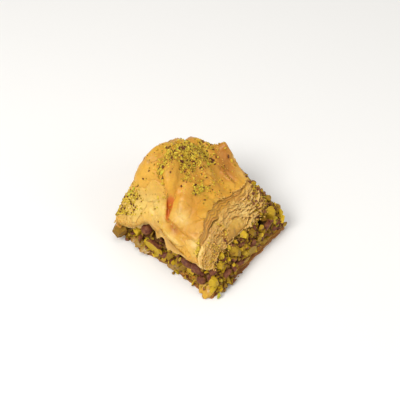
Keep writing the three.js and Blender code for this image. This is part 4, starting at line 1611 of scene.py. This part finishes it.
def makeDusting(surface, pistachio):
    draw = np.random.default_rng(dusting["seed"])
    templates = chunkTemplates(43, 8, 0, 2, 1)
    lumpsTo = dusting["drifts"][dusting["lumpDrifts"] - 1][0]
    above = np.array([0, 0, 1.0])
    bits = []
    for turn in randomTurns(draw, dusting["grains"]):
        pick = draw.uniform()
        drift = next(drift for drift in dusting["drifts"] if pick < drift[0])
        around = draw.uniform(0, 2 * np.pi)
        far = math.sqrt(-math.log(1 - 0.97 * draw.uniform())) * 0.75
        p, q = placeOn(drift[1:], far * math.cos(around), far * math.sin(around))
        p = float(np.clip(p, 0.02, 0.95))
        q = float(np.clip(q, cutLine(p) + 0.01, 0.98))
        near = onCrust(p, q) + above
        clump = float(field(near * (1, 1, 0.3), dusting["clump"], 47))
        if clump < draw.uniform(-0.5, 0.25):
            continue
        spot, out = nearestSpot(surface, near)
        size = skewed(draw, dusting["size"], 2.2)
        kind = draw.uniform()
        if len(bits) % dusting["lumpEvery"] == 0 and pick < lumpsTo:
            size = draw.uniform(*dusting["lumpSize"])
            kind *= 0.35
        bits.append(newBit(draw, templates, size, dusting["uneven"]) | {
            "turn": turn,
            "place": fromPart(spot + out * size * (0.3 + 1.2 * max(clump, 0)) * mm),
            "tint": draw.uniform(0.15, 0.95) if kind < dusting["fresh"] else 1.1,
            "skin": 1.0 if kind < dusting["skin"] else 0.0,
        })
    for p, q, size, tint, skin in dusting["lone"]:
        spot, out = nearestSpot(surface, onCrust(p, q) + above)
        bits.append({
            "pick": draw.integers(len(templates)),
            "size": np.array(size),
            "turn": np.array(out.to_track_quat("Z", "X").to_matrix()),
            "place": fromPart(spot) + np.array(out) * size[2] * 0.5,
            "tint": tint,
            "skin": skin,
        })
    for turn in randomTurns(draw, dusting["wallGrains"]):
        size = skewed(draw, dusting["size"], 2.2)
        spot = onStack(skewed(draw, (-1, -0.2), 1.6), -1.0, draw.uniform(0.15, 0.95))
        bits.append(newBit(draw, templates, size, dusting["uneven"]) | {
            "turn": turn,
            "place": spot + np.array(dusting["wallWay"]) * draw.uniform(0.1, 1.0),
            "tint": draw.uniform(0.2, 0.85),
            "skin": 1.0 if draw.uniform() < dusting["skin"] else 0.0,
        })
    piece = joinBits("ground_nuts", templates, bits)
    finishPiece(piece, pistachio, "chopped_nuts", "puffed_crust")


crumbs = {
    "size": (0.16, 0.5),
    "uneven": (0.7, 1.4),
    "seed": 29,
    "front": 330,  # on the front end of the cut face
    "foot": 120,  # along the stack's foot, on the nuts
    "edges": 520,  # along the edges of the top sheet
    "shares": {"ear": 0.45, "hem": 0.25, "cut": 0.3},
    "strewn": 420,  # all over the top
    "pale": (0.3, 1.0),
    "toast": 0.45,
}


# A place along an edge of the top sheet, from two numbers between 0 and 1.
def alongEdge(name, u, v):
    if name == "ear":
        return 0.1 * v**2, 0.85 + 0.15 * u
    if name == "hem":
        return 0.02 * v, u
    return topPlace(2 * u - 1, -1 + 0.08 * v)


# Crumbs of the pastry itself: on the cut face, along the stack's foot and at the top's edges.
def makeCrumbs(surface, pastry):
    draw = np.random.default_rng(crumbs["seed"])
    templates = chunkTemplates(44, 8, 1, 3, 1)
    spots = []
    for _ in range(crumbs["front"]):
        spot = onStack(skewed(draw, (-1, -0.2), 1.5), -1.0, draw.uniform(0.02, 0.97))
        spots.append(spot + np.array(dusting["wallWay"]) * draw.uniform())
    for _ in range(crumbs["foot"]):
        spot = onStack(draw.uniform(-1, 1), -1.0, 0.0)
        spots.append(spot + np.array([0, draw.uniform(-1.8, 0.3), draw.uniform(-1.2, 0.2)]))
    for index in range(crumbs["edges"] + crumbs["strewn"]):
        edge = drawName(draw, crumbs["shares"])
        u, v = draw.uniform(size=2)
        p, q = alongEdge(edge, u, v) if index < crumbs["edges"] else topPlace(2 * u - 1, 2 * v - 1)
        spot, out = nearestSpot(surface, onCrust(p, q))
        spots.append(fromPart(spot + out * 0.1 * mm))
    bits = []
    for spot, turn in zip(spots, randomTurns(draw, len(spots))):
        bits.append({
            "pick": draw.integers(len(templates)),
            "size": skewed(draw, crumbs["size"], 1.8) * draw.uniform(*crumbs["uneven"], 3),
            "turn": turn,
            "place": spot,
            "pale": draw.uniform(*crumbs["pale"]),
            "toast": skewed(draw, (0, crumbs["toast"]), 3),
        })
    piece = joinBits("pastry_crumbs", templates, bits, ("pale", "toast"))
    finishPiece(piece, pastry, "crisp_pastry", "puffed_crust")


studio = {
    "floor": "f2f0ec",
    "floorSize": 3.0,
    "world": 0.42,
    "elevation": 46.95,
    "azimuth": -48.72,
    "distance": 0.4548,
    "target": (27.2, 31.87, 12.0),  # on the plan, mm
    "lens": 100,
    "sensor": 36,
    # azimuth and elevation in degrees, distance, size and power
    "lights": [
        ("key", -95, 52, 0.7, 0.35, 3.2),
        ("fill", 15, 35, 0.8, 0.5, 1.0),
        ("top", -40, 85, 0.8, 0.5, 1.4),
    ],
}


def wayTo(azimuth, elevation):
    a = math.radians(azimuth)
    e = math.radians(elevation)
    return Vector((math.sin(a) * math.cos(e), -math.cos(a) * math.cos(e), math.sin(e)))


# Puts a light or a camera in its place, looking back along its way out.
def aim(name, data, target, way, distance):
    holder = bpy.data.objects.new(name, data)
    holder.location = target + way * distance
    holder.rotation_euler = way.to_track_quat("Z", "Y").to_euler()
    bpy.context.scene.collection.objects.link(holder)
    return holder


def makeStudio():
    made = bmesh.new()
    bmesh.ops.create_grid(made, x_segments=1, y_segments=1, size=studio["floorSize"])
    mesh = meshFrom(made, "floor")
    material, wire, _ = newMaterial("plainPaper")
    closeMaterial(wire, {"Roughness": 0.9}, {"Base Color": colour(studio["floor"])})
    mesh.materials.append(material)
    floor = newPiece("floor", mesh)
    world = bpy.data.worlds.new("softRoom")
    world.use_nodes = True
    background = world.node_tree.nodes["Background"]
    background.inputs["Color"].default_value = (1, 1, 1, 1)
    background.inputs["Strength"].default_value = studio["world"]
    bpy.context.scene.world = world
    for name, azimuth, elevation, distance, size, power in studio["lights"]:
        lamp = bpy.data.lights.new(name, "AREA")
        lamp.shape = "DISK"
        lamp.size = size
        lamp.energy = power
        aim(name, lamp, Vector(), wayTo(azimuth, elevation), distance)
    lens = bpy.data.cameras.new("camera")
    lens.lens = studio["lens"]
    lens.sensor_width = studio["sensor"]
    target = Vector(toPart(studio["target"]))
    way = wayTo(studio["azimuth"], studio["elevation"])
    bpy.context.scene.camera = aim("camera", lens, target, way, studio["distance"])
    bpy.context.scene.view_settings.view_transform = "Standard"


print("making the studio")
makeStudio()
print("making the materials")
crispPastry = makePastry("crispPastry", pastryLook)
layeredPastry = makePastry("layeredPastry", layersLook)
choppedPistachio = makePistachio("choppedPistachio", nutLook)
groundPistachio = makePistachio("groundPistachio", groundLook)
syrupyCrumb = makeSyrupyCrumb("syrupyCrumb", coreLook)
soakedPastry = makeSoakedPastry("soakedPastry", soakedLook)
print("making the crust")
topPiece = makeCrust(crispPastry, layeredPastry)
makeFlakes(crispPastry)
makeShreds(layeredPastry)
print("making the filling")
makeFilling(syrupyCrumb, choppedPistachio)
print("making the base")
makeBase(soakedPastry)
print("dusting the top")
topSurface = bvhtree.BVHTree.FromObject(topPiece, bpy.context.evaluated_depsgraph_get())
makeDusting(topSurface, groundPistachio)
makeCrumbs(topSurface, crispPastry)
